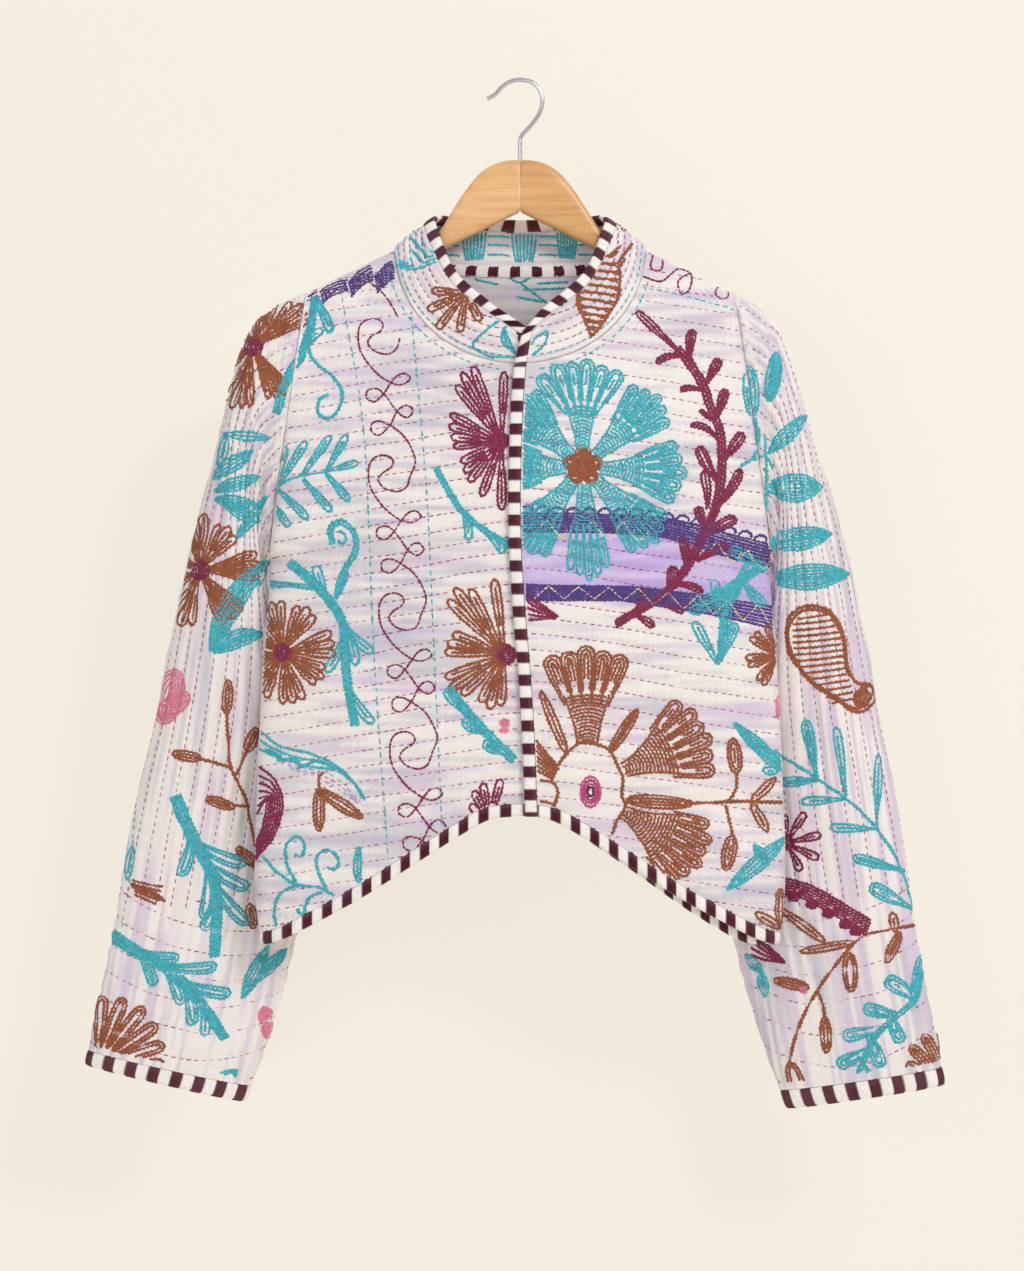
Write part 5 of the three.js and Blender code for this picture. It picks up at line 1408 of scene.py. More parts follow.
def drawRightFront(w):
    # The wearer's right front, on the viewer's left
    for line in ([(-142.4, -168.8), (-123.2, -284), (-115.2, -452), (-103.2, -624)],
                 [(-87.2, -176), (-74.4, -318.4), (-68.8, -430.4), (-60.8, -606.4)]):
        stem(w, line, teal, kind="running")
    w.sew(flowing([(-134.4, -161.6), (-130.4, -164.8), (-124.8, -164), (-121.6, -158.4), (-118.4, -162.4),
                   (-105.6, -175.2), (-96, -192)]), maroon, "line")
    scroll(w, (-104, -208), 4, (8.6, -109), maroon)
    # Turquoise leaf branch
    w.sew(flowing([(-194.4, -328), (-184, -320.8), (-171.2, -316.8), (-152, -313.6)]), teal, "chain")
    petals(w, [(-192, -326.4, -168.8, -289.6, 7.6), (-192, -326.4, -167.2, -350.4, 7.6),
               (-172.8, -317.6, -149.6, -284.8, 7.6), (-171.2, -319.2, -148.8, -344.8, 7.6),
               (-153.6, -313.6, -136.8, -284.8, 7.6), (-153.6, -314.4, -134.4, -336.8, 7.6),
               (-152, -312.8, -128, -306.4, 7.6), (-194.4, -328, -184.8, -293.6, 7.6),
               (-194.4, -338.4, -182.4, -356.8, 7.6)], teal, foot=0.3)
    # Turquoise curl over a long sprig
    stem(w, [(-147.2, -370.4), (-149.6, -358.4), (-140, -353.6), (-130.4, -363.2), (-129.6, -376),
             (-136, -387.2), (-140.8, -398.4), (-143.2, -411.2)], teal, 2)
    spiral(w, (-141.6, -367.2), 6.5, 1.5, 120, -0.8, teal)
    sprig(w, [(-182.4, -384.8), (-164, -400), (-149.6, -416), (-140, -432), (-137.6, -454.4), (-136, -478.4),
              (-129.6, -513.6)], [(0.5, 1, 34, 9, 28), (0.58, -1, 33, 9, 30), (0.46, -1, 42, 9, 10),
                                  (0.86, 1, 36, 9, 25)], teal, 3, 0.2)
    petals(w, [(-152, -414.4, -161.6, -388, 9), (-145.6, -414.4, -137.6, -392, 9)], teal)
    # Brown flower with a maroon heart
    flower(w, (-187.2, -456), 43, [10, 60, 104, 148, 196, 238, 282, 328], brown, 8.5, maroon, 37, 3, 0.16,
           [1, 0.95, 0.98, 0.9])
    loops(w, (-14.5, -290), [(129, 57), (120, 63), (111, 64), (88, 55), (152, 46), (163, 43), (175, 40),
                             (186, 38), (207, 36), (219, 38), (231, 41), (250, 46), (270, 54)], 8.4, maroon,
          8, maroon)
    loops(w, (-12, -458), [(136, 62), (127, 66), (118, 58), (98, 60), (168, 46), (177, 47), (158, 44),
                           (201, 50), (212, 52), (223, 46), (243, 42), (254, 44), (265, 40)], 9.2, brown, 9.5,
          maroon)
    disc(w, (-12, -511.2), 4, pink, 1.3)
    disc(w, (-12, -517.6), 3.4, pink, 1.4)
    # Turquoise sprigs that run to the middle edge
    sprig(w, [(-66.4, -310.4), (-56.8, -328), (-46.4, -344), (-30.4, -358.4), (-6.4, -372.8)],
          [(0.55, -1, 22, 8, 30), (0.75, -1, 26, 8, 12), (0.93, -1, 18, 7, 5)], teal, 2)
    sprig(w, [(-56.8, -483.2), (-44.8, -499.2), (-32, -513.6), (-17.6, -528), (-4.8, -540.8)],
          [(0.35, -1, 26, 9, 178), (0.62, -1, 22, 10, 165), (0.9, -1, 20, 10, 160)], teal, 3)
    # The wavy turquoise leaf with lilac under it
    between(w, flowing([(-208, -516.8), (-188, -530.4), (-164, -536), (-144, -545.6), (-131.2, -557.6),
                        (-121.6, -571.2)]), flowing([(-206.4, -532.8), (-193.6, -537.6), (-179.2, -542.4),
                                                     (-168, -545.6), (-145.6, -548.8), (-131.2, -558.4),
                                                     (-122.4, -572)]), teal)
    stem(w, [(-201.6, -532.8), (-188.8, -537.6), (-190.4, -540.8), (-176, -540), (-172.8, -546.4),
             (-158.4, -541.6), (-144, -548.8)], teal)
    between(w, flowing([(-184, -544), (-161.6, -548.8), (-144, -555.2), (-124.8, -574.4)]),
            flowing([(-182.4, -547.2), (-161.6, -553.6), (-145.6, -561.6), (-128, -574.4)]), "B7A2CE",
            kind="running")
    # Brown forked leaf, maroon crescent, turquoise scrolls, and the petals at the hem
    petals(w, [(-158.4, -563.2, -158.4, -596.8, 11), (-157.6, -564.8, -124, -586.4, 11)], brown, "oval")
    stem(w, [(-157.6, -564.8), (-158.4, -555.2), (-154.4, -550.4)], brown)
    between(w, flowing([(-209.6, -545.6), (-195.2, -554.4), (-187.2, -574.4), (-193.6, -600),
                        (-209.6, -620.8)]), flowing([(-210.4, -587.2), (-200, -571.2), (-201.6, -584),
                                                     (-204.8, -598.4), (-210.4, -608)]), maroon)
    stems(w, teal, [(-203.2, -616.8), (-192, -628.8), (-177.6, -638.4), (-158.4, -641.6), (-140, -650.4)],
          [(-176, -638.4), (-184, -622.4), (-184, -608), (-176, -600.8), (-169.6, -608), (-172.8, -616.8),
           (-177.6, -614.4)], [(-152, -643.2), (-159.2, -628.8), (-160, -617.6), (-152, -611.2),
                               (-143.2, -619.2), (-145.6, -627.2), (-152, -625.6)],
          [(-176, -639.2), (-187.2, -644.8), (-193.6, -657.6), (-192, -674.4)],
          [(-156, -644.8), (-166.4, -649.6), (-171.2, -662.4), (-176, -658.4)])
    petal(w, (-126.4, -638.4), (-126.4, -608.8), 8, teal, "leaf", 2, 0.05)
    for angle, size in ((140, 20), (118, 27), (100, 30), (75, 34)):
        petal(w, polar((-24, -588.8), angle, 3), polar((-24, -588.8), angle, size), 8, maroon, rows=2)
    # Purple strip that comes over the shoulder
    for a, b, low in (((-174.4, -174.4), (-161.6, -168), 5), ((-158.4, -171.2), (-137.6, -160.8), 8),
                      ((-136, -163.2), (-118.4, -148.8), 11), ((-115.2, -158.4), (-97.6, -144), 13)):
        first = bow(a, b, 0.1)
        between(w, first, first - np.array([-2, low]), purple, 1.9, "knot")


def drawLeftFront(w):
    # The wearer's left front, on the viewer's right
    # The purple band goes down first, and the flower and branches lie over it
    between(w, flowing([(3, -347), (90, -348.5), (136, -355), (160, -361.5), (198, -371)]),
            flowing([(3, -361), (98, -363), (136, -372), (160, -379), (198, -388)]), purple, 2.0)
    for k in range(16):
        x = 5 + 12.3 * k
        spiral(w, (x, np.interp(x, [0, 90, 136, 160, 198], [-347, -348.5, -355, -361.5, -371])), 5.5, 5.5, 10,
               0.45, purple)
    head = ([0, 90, 140, 198], [-403, -405, -411, -420])
    foot = ([0, 78, 120, 150, 198], [-414.5, -415, -421, -426, -437])
    x = np.linspace(0, 200, 60)
    between(w, np.stack([x, np.interp(x, *head)], -1), np.stack([x, np.interp(x, *foot)], -1), purple, 2.0)
    x = 10.5 + 11.8 * np.arange(17)
    z = np.where(np.arange(17) % 2, np.interp(x, *head) - 0.5, np.interp(x, *foot) + 0.5)
    w.sew(np.stack([x, z], -1), pale, "line")
    for x in (26, 62, 86, 160, 184):
        z = np.interp(x, [0, 98, 136, 160, 198], [-361, -363, -372, -379, -388])
        w.sew(flowing([(x - 10, z + 4), (x - 5, z + 9), (x + 1, z + 1), (x + 8, z - 5), (x + 15, z + 2)]),
              pale, "line")
    # The great turquoise flower with its brown heart
    for angle, size, top in ((92, 1.02, 76), (43, 1.0, 48), (-3, 0.97, 54), (-45, 1.0, 46), (-87, 1.08, 36),
                             (-128, 1.0, 46), (180, 0.75, 44), (138, 0.9, 48)):
        base = polar((49.6, -310.4), angle, 13)
        fan(w, base, angle, 71 * size, 35 * size, (9, 25, top), 5 if top < 60 else 6, teal)
    for k in range(5):
        disc(w, polar((49.6, -310.4), 90 + 72 * k, 9.5), 7.4, brown)
    disc(w, (49.6, -310.4), 9, brown)
    for k in range(1, 5):
        spiral(w, polar((49.6, -310.4), 90 + 72 * k, 11), 1.6, 0.6, 0, 1, pale, "knot")
    spiral(w, (49.6, -299.2), 5, 5, 0, 0.5, pale, "line")
    # Maroon branch with looped leaves
    stem(w, [(124.1, -215.9), (130.6, -222.4), (143.7, -242.8), (150.2, -260.8), (157.6, -280.4),
             (159.2, -296.7), (158.4, -321.2), (153.5, -344.1), (143.7, -365.3), (130.6, -389.8),
             (112.7, -411.0), (91.4, -424.1), (75.1, -433.9)], maroon, 3, 0.2)
    for x, z, tipX, tipZ, width, bend in ((125.7, -217.5, 92.3, -186, 8, 0),
                                          (133.9, -225.7, 136.7, -200.7, 9, 0.03),
                                          (132.3, -223.2, 107.8, -226.2, 6.5, -0.12),
                                          (147, -243.6, 158.1, -223.6, 9, 0),
                                          (145.3, -250.2, 126.6, -249, 6.5, -0.14),
                                          (155.1, -271.4, 162.8, -248, 9, 0),
                                          (154.3, -273.8, 142.1, -264.9, 5, 0),
                                          (156, -288.5, 134.7, -276.6, 6.5, -0.16),
                                          (160.9, -304.1, 176, -283.2, 10, 0),
                                          (156.8, -322, 140.8, -293.8, 10.5, 0.04),
                                          (147.8, -343.3, 144.8, -313.4, 8.5, -0.04),
                                          (153.5, -343.3, 174.2, -311.7, 9, -0.05),
                                          (145.3, -359.6, 140.1, -341.6, 9, 0),
                                          (147, -364.5, 170.2, -350.3, 10, 0.05),
                                          (130.6, -389, 128.2, -366.1, 9, -0.04),
                                          (138.8, -384.1, 163.6, -371.5, 9, 0.05),
                                          (116.8, -409.4, 121.2, -388.5, 9.5, 0),
                                          (120.8, -402.9, 144, -409.1, 7, 0.12),
                                          (91.4, -425.7, 98.5, -407.4, 7.5, 0),
                                          (112.7, -419.2, 129, -423.8, 7.5, 0.05),
                                          (90.6, -427.4, 104.8, -435.5, 7.5, 0.05)):
        petal(w, (x, z), (tipX, tipZ), width, maroon, rows=1, bend=bend, foot=0.3)
        petal(w, (x, z), (tipX, tipZ), width - 4.6, maroon, rows=1, bend=bend, foot=0.2)
    # Sprigs at the side
    sprig(w, [(193.6, -387.2), (174.4, -400), (161.6, -419.2), (156.8, -462.4)],
          [(0.15, 1, 38, 10, 10), (0.35, -1, 40, 10, 20), (0.5, 1, 36, 10, 30), (0.55, -1, 36, 10, 30),
           (0.02, -1, 30, 10, 60), (0.3, 1, 28, 10, 90), (0.72, 1, 26, 9, 165), (0.78, -1, 26, 9, 165)], teal,
          3, 0.6)
    petals(w, [(156.5, -421, 152.8, -399, 9), (163.8, -416, 188, -379.5, 12), (155.3, -465, 137, -432, 9),
               (155.3, -465, 170, -433.5, 10)], teal, foot=0.3)
    flower(w, (204, -458.4), 27, [105, 143, 192, 235], brown, 0, brown, 30, 2, 0.1)
    disc(w, (207.2, -499.2), 12, pink, 0.5)
    between(w, [(1.6, -402.4), (12.8, -416), (28.8, -427.2)], [(3.2, -431.2), (16, -430.4), (29.6, -428)],
            maroon)
    # The brown ring of fans, with oblong petals between them
    fan(w, (52.8, -527.2), 91, 76, 37, (16, 36, 72), 5, brown, 0.8)
    fan(w, (81.6, -548.8), 25, 74, 40, (11, 44, 72), 6, brown, 0.9)
    fan(w, (80, -580.8), -31, 76, 42, (9, 44, 62), 6, brown, 0.9)
    petals(w, [(36.8, -536, 16, -486.4, 9), (70.4, -534.4, 92.8, -500.8, 10),
               (83.2, -572, 135.2, -575.2, 12)], brown, "oval", 4)
    between(w, [(10.4, -522.4), (20, -534.4), (30.4, -546.4)], [(10.4, -547.2), (20, -552), (25.6, -555.2)],
            brown)
    stems(w, brown, [(16, -556.8), (25.6, -558.4), (29.6, -566.4), (26.4, -576.8)],
          [(24.8, -555.2), (32, -540.8), (44.8, -528), (57.6, -528), (70.4, -532.8), (75.2, -542.4),
           (80.8, -555.2), (80, -568.8), (83.2, -576.8), (76, -588.8), (72.8, -598.4)])
    petal(w, (12.8, -574.4), (28.8, -579.2), 9, brown, "oval", 3)
    stems(w, brown, [(135.2, -575.2), (161.6, -573.6), (180, -573.6), (211.2, -575.2)],
          [(163.2, -573.6), (169.6, -564.8), (170.4, -552)])
    petal(w, (170.4, -551.2), (167.2, -524), 13, brown, "oval", 3)
    stem(w, [(161.6, -576), (164.8, -588.8), (167.2, -600.8)], brown)
    petal(w, (167.2, -600), (161.6, -627.2), 13, brown, "oval", 3)
    petals(w, [(182.4, -573.6, 201.6, -555.2, 9), (182.4, -575.2, 195.2, -597.6, 9)], brown, "oval")
    # Ring round the little dark eye
    for k, shade in enumerate(("5A1030", "B03A72", "B03A72", "C5588A")):
        radius = 3.0 + 2.3 * k
        a = np.linspace(0, 2 * np.pi, 40)
        centre = (55.2, -565.6)
        w.sew(np.stack([centre[0] + radius * 0.78 * np.cos(a), centre[1] + radius * 1.2 * np.sin(a)], -1),
              shade, "chain")
    # Turquoise leaves at the side, and the brown sprig in the corner
    petal(w, (210.4, -552), (168, -511.2), 12, teal, "leaf", 3)
    petals(w, [(210.4, -542.4, 180, -528, 9), (203.2, -550.4, 190.4, -548.8, 8)], teal, "leaf")
    petal(w, (211.2, -601.6), (162.4, -643.2), 14, teal, "leaf", 4)
    petal(w, (195.2, -624), (184, -608), 10, teal, "leaf", 3)
    petals(w, [(206.4, -674.4, 204.8, -643.2, 11), (206.4, -674.4, 185.6, -661.6, 9)], brown, "oval")
    # Scrolls and the dashed line on the shoulder
    w.sew(flowing([(105.6, -140), (104, -150.4), (112, -152), (113.6, -140.8)]), maroon, "line")
    w.sew(flowing([(97.6, -157.6), (112, -161.6), (124.8, -152), (136, -155.2), (134.4, -168), (128, -171.2),
                   (125.6, -161.6), (134.4, -155.2), (145.6, -156.8)]), maroon, "line")
    spiral(w, (160.8, -170.4), 5.5, 5, 90, 1, maroon, "line")
    stem(w, [(92.8, -165.6), (144, -176.8), (192.8, -193.6), (211.2, -216)], teal, kind="running")


def drawRightSleeve(w):
    # The wearer's right sleeve, on the viewer's left
    petals(w, [(-233.6, -283.2, -198.4, -286.4, 9), (-238.4, -310.4, -232, -281.6, 12),
               (-244.8, -318.4, -211.2, -296, 13), (-206.4, -316.8, -243.2, -328, 12),
               (-243.2, -334.4, -209.6, -339.2, 12), (-206.4, -353.6, -235.2, -337.6, 12),
               (-225.6, -366.4, -200, -332.8, 10)], teal, "leaf", 3)
    flower(w, (-254.4, -391.2), 47, [5, 55, 97, 150, 205, 250, 305], brown, 9, maroon, 36, 3, 0.17,
           [1.02, 0.9, 1])
    petal(w, (-246.4, -454.4), (-201.6, -382.4), 20, teal, "leaf", 5, 0.06)
    petal(w, (-244.8, -456), (-204.8, -441.6), 16, teal, "leaf", 4, 0.08)
    petal(w, (-286.4, -513.6), (-273.6, -470.4), 26, pink, "oval", 6)
    petal(w, (-288, -507.2), (-264, -489.6), 18, pink, "oval", 4)
    # Brown branch with buds
    stems(w, brown, [(-209.6, -628.8), (-220, -574.4), (-230.4, -550.4), (-233.6, -522.4), (-234.4, -504)],
          [(-230.4, -548.8), (-244.8, -544), (-256, -540.8)], [(-227.2, -554.4), (-220.8, -540.8),
                                                               (-216, -528)],
          [(-220, -579.2), (-230.4, -579.2)])
    petals(w, [(-234.4, -505.6, -232.8, -478.4, 10), (-254.4, -540.8, -276.8, -536.8, 10),
               (-218.4, -536, -211.2, -516.8, 10), (-228.8, -580.8, -251.2, -572.8, 10),
               (-211.2, -628.8, -227.2, -612.8, 10), (-217.6, -658.4, -214.4, -678.4, 10)], brown, "oval")
    # Turquoise sprigs
    sprig(w, [(-275.2, -570.4), (-264, -598.4), (-252, -622.4), (-243.2, -646.4), (-244.8, -700.8)],
          [(0.3, -1, 34, 11, 40), (0.35, 1, 44, 12, 36), (0.55, -1, 44, 12, 30), (0.5, 1, 40, 12, 30),
           (0.75, -1, 34, 12, 22), (0.72, 1, 44, 12, 22)], teal, 4, 0.2)
    sprig(w, [(-326.4, -682.4), (-300, -698.4), (-278.4, -712), (-257.6, -734.4), (-236.8, -766.4)],
          [(0.2, -1, 30, 10, 32), (0.18, 1, 36, 10, 20), (0.42, -1, 34, 11, 32), (0.4, 1, 44, 11, 28),
           (0.62, -1, 34, 11, 32), (0.6, 1, 40, 11, 28), (0.8, -1, 26, 9, 30)], teal, 4, 0.3)
    petals(w, [(-224, -734.4, -203.2, -692.8, 13), (-214.4, -722.4, -188.8, -696, 11)], teal, "leaf", 3)
    petal(w, (-313.6, -638.4), (-308.8, -611.2), 8, teal, "leaf", 2)
    petal(w, (-310.4, -641.6), (-283.2, -654.4), 7, brown, "leaf", 2)
    between(w, [(-308.8, -638.4), (-296, -641.6), (-284.8, -643.2)],
            [(-307.2, -649.6), (-296, -654.4), (-289.6, -657.6)], brown)
    loops(w, (-338, -786), [(0, 54), (17, 56), (34, 58), (51, 60), (68, 58), (85, 55)], 12, brown, 10, maroon,
          8)
    for k in range(3):
        disc(w, (-206 + 2.5 * k, -748.8 - 12.8 * k), 8, pink, 0.8)
    petal(w, (-252, -808), (-227.2, -792), 14, teal, "leaf", 3)
    petal(w, (-270.4, -808), (-251.2, -804.8), 9, teal, "leaf", 2)
    w.sew(flowing([(-304, -550.4), (-308.8, -614.4), (-318.4, -678.4)]), teal, "running")


def drawLeftSleeve(w):
    # The wearer's left sleeve, on the viewer's right
    petals(w, [(200, -256, 204.8, -220.8, 10), (196.8, -298.4, 226.4, -268, 13),
               (195.2, -326.4, 240, -324.8, 24), (195.2, -370.4, 248, -361.6, 20),
               (196.8, -398.4, 262.4, -393.6, 22)], teal, "leaf", 5)
    stem(w, [(193.6, -286.4), (195.2, -326.4), (194.4, -370.4), (198.4, -406.4)], teal)
    # Brown striped gourd
    outline = flowing([(252.8, -494.4), (230.4, -478.4), (214.4, -456), (212.8, -432), (227.2, -419.2),
                       (246.4, -424), (257.6, -444.8), (260.8, -468.8), (270.4, -481.6), (283.2, -484.8),
                       (281.6, -497.6), (268, -504), (252.8, -494.4)])
    w.sew(outline, brown, "rope")
    w.sew(outline * 0.93 + np.array((241.6, -459.2)) * 0.07, brown, "rope")
    for k in range(15):
        down = 8 + 4.8 * k  # below the gourd's top
        left = np.interp(down, [0, 12.8, 36.8, 59.2, 75.2], [229.6, 216.8, 218.4, 232.8, 248.8])
        right = np.interp(down, [0, 4.8, 25.6, 49.6, 75.2], [226.4, 244, 254.4, 258.4, 266.4])
        w.sew(np.array([(left, -421.6 - down), (right, -417.6 - down)]), brown, "chain")
    disc(w, (272, -492.8), 9, brown)
    # Turquoise branch below it, and the maroon flower at the armhole
    stem(w, [(210.3, -539.5), (237.1, -556.9), (260.4, -573), (285.1, -597.7), (304, -629.7),
             (314.2, -661.7)], teal)
    petals(w, [(237.8, -556.9, 227.8, -510.4, 11), (260.4, -571.5, 252.2, -516.2, 8.5),
               (284.2, -596.3, 286, -538, 8), (237.8, -558.4, 210.9, -560.4, 9.5),
               (260.4, -573, 226, -575.8, 8.5), (285, -597, 248.1, -596.2, 8.5),
               (306.9, -631.1, 266.2, -619.5, 9.5), (314.2, -661.7, 279.3, -642.8, 12.5)], teal, "tongue", 3,
           foot=0.12)
    loops(w, (213.8, -609.3), [(95, 22), (60, 28.4), (15, 27.8), (-25, 27.4), (-62, 24.7)], 8, maroon, 7,
          maroon)
    # Maroon scalloped band with pale dots
    top = flowing([(210.4, -636.8), (233.6, -643.2), (260.8, -658.4), (280, -670.4)])
    between(w, top, top - np.array([4, 11.0]), maroon, 2.3)
    for k in range(6):
        place = top[int((k + 0.5) / 6 * (len(top) - 1))]
        disc(w, place - np.array([5, 12.0]), 5.5, maroon)
        spiral(w, place - np.array([3, 7.0]), 1.4, 0.6, 0, 1, pale, "knot")
    between(w, [(187.2, -678.4), (198.4, -691.2), (212.8, -704)],
            [(187.2, -700.8), (198.4, -704), (212.8, -705.6)], maroon)
    # Brown branch with buds, and the feathery turquoise branch that ends at the cuff
    stems(w, brown, [(315.6, -674.8), (292, -678), (269.1, -686.4), (238.6, -727.1), (224, -757.7),
                     (216.7, -786.8)], [(238.6, -727.1), (243, -739), (244.4, -748)])
    petals(w, [(244.4, -687.8, 210.3, -663.1, 9), (267.6, -687.3, 225.4, -696.6, 8.5),
               (303, -680, 292.4, -703.8, 10), (300, -679, 296.5, -664, 9), (263.3, -696, 264.7, -727.1, 13),
               (232, -725, 205.1, -719.9, 10), (244.4, -747.5, 245.8, -776.6, 10.5),
               (217.5, -786, 226.9, -815.8, 14)], brown, "oval")
    stem(w, [(321.4, -702.4), (315.6, -731.5), (301.1, -746), (283.6, -763), (272, -789.6), (263.3, -815.8)],
         teal, 2)
    petals(w, [(315.6, -731.5, 292.4, -717, 14), (313, -733, 322, -699.5, 11),
               (301, -746, 274.9, -740.2, 11.5), (294, -745, 304, -767, 11.5),
               (283.6, -757.6, 258.9, -763.5, 12), (279, -762, 288.6, -786.8, 12),
               (276.4, -775.1, 254.6, -786.8, 12), (272, -786, 284.6, -804.2, 12),
               (268, -796, 254.4, -813, 12)], teal, "tongue", 3, foot=0.5)
    petals(w, [(196, -714.4, 182.4, -700.8, 10), (198.4, -734.4, 195.2, -714.4, 10)], teal, "leaf")
    loops(w, (345, -803), [(102, 46), (119, 48), (136, 47), (153, 41), (170, 34), (186, 30)], 10, brown)
    disc(w, (228, -726.4), 4, pink)


def drawCollarRight(w):
    between(w, flowing([(-98, -147), (-84, -137), (-64, -132)]),
            flowing([(-98, -148), (-84, -150), (-64, -143)]), teal, 2.2)
    loops(w, (-43.5, -169), [(176, 27), (204, 33), (232, 36), (262, 31), (298, 25)], 8, brown, 0, None, 1)
    w.sew(flowing([(-2.5, -184), (-17, -191), (-35, -206), (-36, -213), (-24, -219.5), (-4, -220.5)]), teal,
          "chain")
    for shift in (0, 3, 6):
        w.sew(flowing([(-5 - shift, -187), (-13 + shift * 0.2, -198), (-14 + shift, -208), (-4, -217)]), teal,
              "chain")


def drawCollarLeft(w):
    left = flowing([(73, -108), (66, -127), (57, -153), (45.5, -174.5), (51, -189), (56.5, -204)])
    right = flowing([(75, -108), (77, -124), (79.4, -147), (78.5, -171), (68, -190), (56.5, -204)])
    w.sew(left, brown, "rope")
    w.sew(right, brown, "rope")
    a, b = resampledLine(left, 34), resampledLine(right, 34)
    for k in range(2, 33):
        w.sew(bow(a[k], b[k], 0.08 if k % 2 else -0.04), brown, "chain")
    petal(w, (8, -218), (22, -199), 11, teal, "leaf", 1)


def drawInside(collar, back):
    for middle, wide, low in ((-37, 19, -143), (3.2, 20, -144), (38, 16, -142)):
        for k in range(7):
            x = middle + (k - 3) / 6 * wide
            collar.sew(bow((x, -112), (middle + (k - 3) / 9 * wide, low), 0.01 * (k - 3)), teal, "chain")
    for z in (-117, -124, -131, -139):
        for a, b in ((-66, -49), (-26, -9), (15, 30), (47, 62)):
            collar.sew(bow((a, z), (b, z - 0.5), 0.03), teal, "chain")
    for line in ([(-45, -152), (-16, -156), (0, -163), (15, -154)], [(0, -163), (12, -172), (24, -181)],
                 [(-36, -161), (-17, -165)], [(3, -168.5), (35, -168)], [(-3, -174), (18, -178)],
                 [(10, -157), (36, -158)], [(14, -164), (38, -163)]):
        stem(back, line, teal, kind="chain")


def drawBack(w):
    # The back was never seen: the same flowers, leaves and scroll, set out over it
    for x in (-46, 24):
        stem(w, [(x, -158), (x - 3, -350), (x + 4, -600)], teal, kind="running")
    scroll(w, (-12, -182), 4, (1.5, -109), maroon)
    flower(w, (-118, -262), 47, [0, 45, 90, 135, 180, 225, 270, 315], brown, 9.5, maroon, 36, 3, 0.17,
           [1, 0.93])
    flower(w, (118, -560), 46, [20, 65, 110, 155, 200, 245, 290, 335], brown, 9, maroon, 36, 3, 0.17,
           [1, 0.94])
    for angle in range(0, 360, 45):
        fan(w, polar((112, -330), angle, 15), angle, 66, 35, (8.5, 22, 46), 5, teal)
    for k in range(5):
        disc(w, polar((112, -330), 90 + 72 * k, 9.5), 7.4, brown)
    disc(w, (112, -330), 9, brown)
    for angle in (100, 30, -40, 170):
        fan(w, polar((-122, -520), angle, 22), angle, 66, 34, (12, 34, 60), 5, brown, 0.9)
    for angle in (65, -5, 135):
        petal(w, polar((-122, -520), angle, 22), polar((-122, -520), angle, 62), 10, brown, "oval", 3)
    sprig(w, [(-178, -330), (-150, -352), (-112, -372), (-72, -420)],
          [(0.2, 1, 28, 9, 32), (0.2, -1, 30, 9, 32), (0.45, 1, 32, 9, 30), (0.48, -1, 32, 9, 34),
           (0.72, 1, 28, 9, 30), (0.75, -1, 30, 9, 30)], maroon, 2, 0.3)
    sprig(w, [(60, -180), (90, -200), (128, -214), (168, -236)],
          [(0.2, 1, 24, 8, 34), (0.25, -1, 26, 8, 34), (0.5, 1, 28, 8, 34), (0.52, -1, 28, 8, 34),
           (0.78, 1, 22, 8, 30), (0.8, -1, 24, 8, 30)], teal, 2, 0.3)
    sprig(w, [(64, -438), (88, -470), (104, -500), (60, -540)], [(0.2, 1, 24, 8, 34), (0.3, -1, 30, 9, 34),
                                                                 (0.5, 1, 30, 9, 40), (0.8, -1, 26, 8, 34)],
          teal, 2, 0.2)
    sprig(w, [(196, -450), (176, -470), (158, -496)], [(0.3, 1, 26, 9, 34), (0.3, -1, 26, 9, 34),
                                                       (0.7, 1, 24, 9, 34), (0.7, -1, 24, 9, 34)], maroon, 2)
    petal(w, (-190, -420), (-150, -452), 16, teal, "leaf", 4, 0.06)
    petal(w, (-196, -400), (-158, -414), 14, teal, "leaf", 3, 0.06)
    petal(w, (-60, -560), (-70, -600), 12, pink, "oval", 3)
    petals(w, [(-196, -610, -160, -640, 14), (180, -640, 196, -600, 13)], teal, "leaf", 3)
    petal(w, (-168, -196), (-140, -214), 11, teal, "leaf", 2)


def drawSleeveBack(w, side):
    # The unseen half of a sleeve, in the same manner
    flower(w, (side * 216, -268), 36, [0, 60, 120, 180, 240, 300], brown, 8, maroon, 40, 3, 0.18)
    petal(w, (side * 214, -330), (side * 244, -352), 15, teal, "leaf", 4, 0.05)
    petal(w, (side * 212, -372), (side * 250, -384), 16, teal, "leaf", 4, 0.05)
    petal(w, (side * 216, -414), (side * 258, -422), 16, teal, "leaf", 4, 0.05)
    stem(w, [(side * 208, -318), (side * 212, -372), (side * 214, -432)], teal)
    flower(w, (side * 236, -492), 38, [10, 55, 100, 145, 190, 235, 280, 325], maroon, 7, brown, 34, 2, 0.16)
    sprig(w, [(side * 232, -548), (side * 240, -590), (side * 246, -636), (side * 250, -668)],
          [(0.2, 1, 32, 10, 32), (0.25, -1, 32, 10, 32), (0.5, 1, 34, 10, 32), (0.52, -1, 32, 10, 32),
           (0.75, 1, 28, 10, 30), (0.78, -1, 28, 10, 30)], teal, 3, 0.3)
    stem(w, [(side * 300, -690), (side * 276, -712), (side * 262, -744), (side * 258, -772)], brown)
    for base, tip in (((292, -697), (300, -728)), ((276, -712), (254, -700)), ((264, -740), (244, -722)),
                      ((262, -745), (286, -764)), ((258, -772), (256, -800))):
        petal(w, (side * base[0], base[1]), (side * tip[0], tip[1]), 10, brown, "oval", 2)
    petal(w, (side * 300, -760), (side * 322, -790), 13, teal, "leaf", 3)


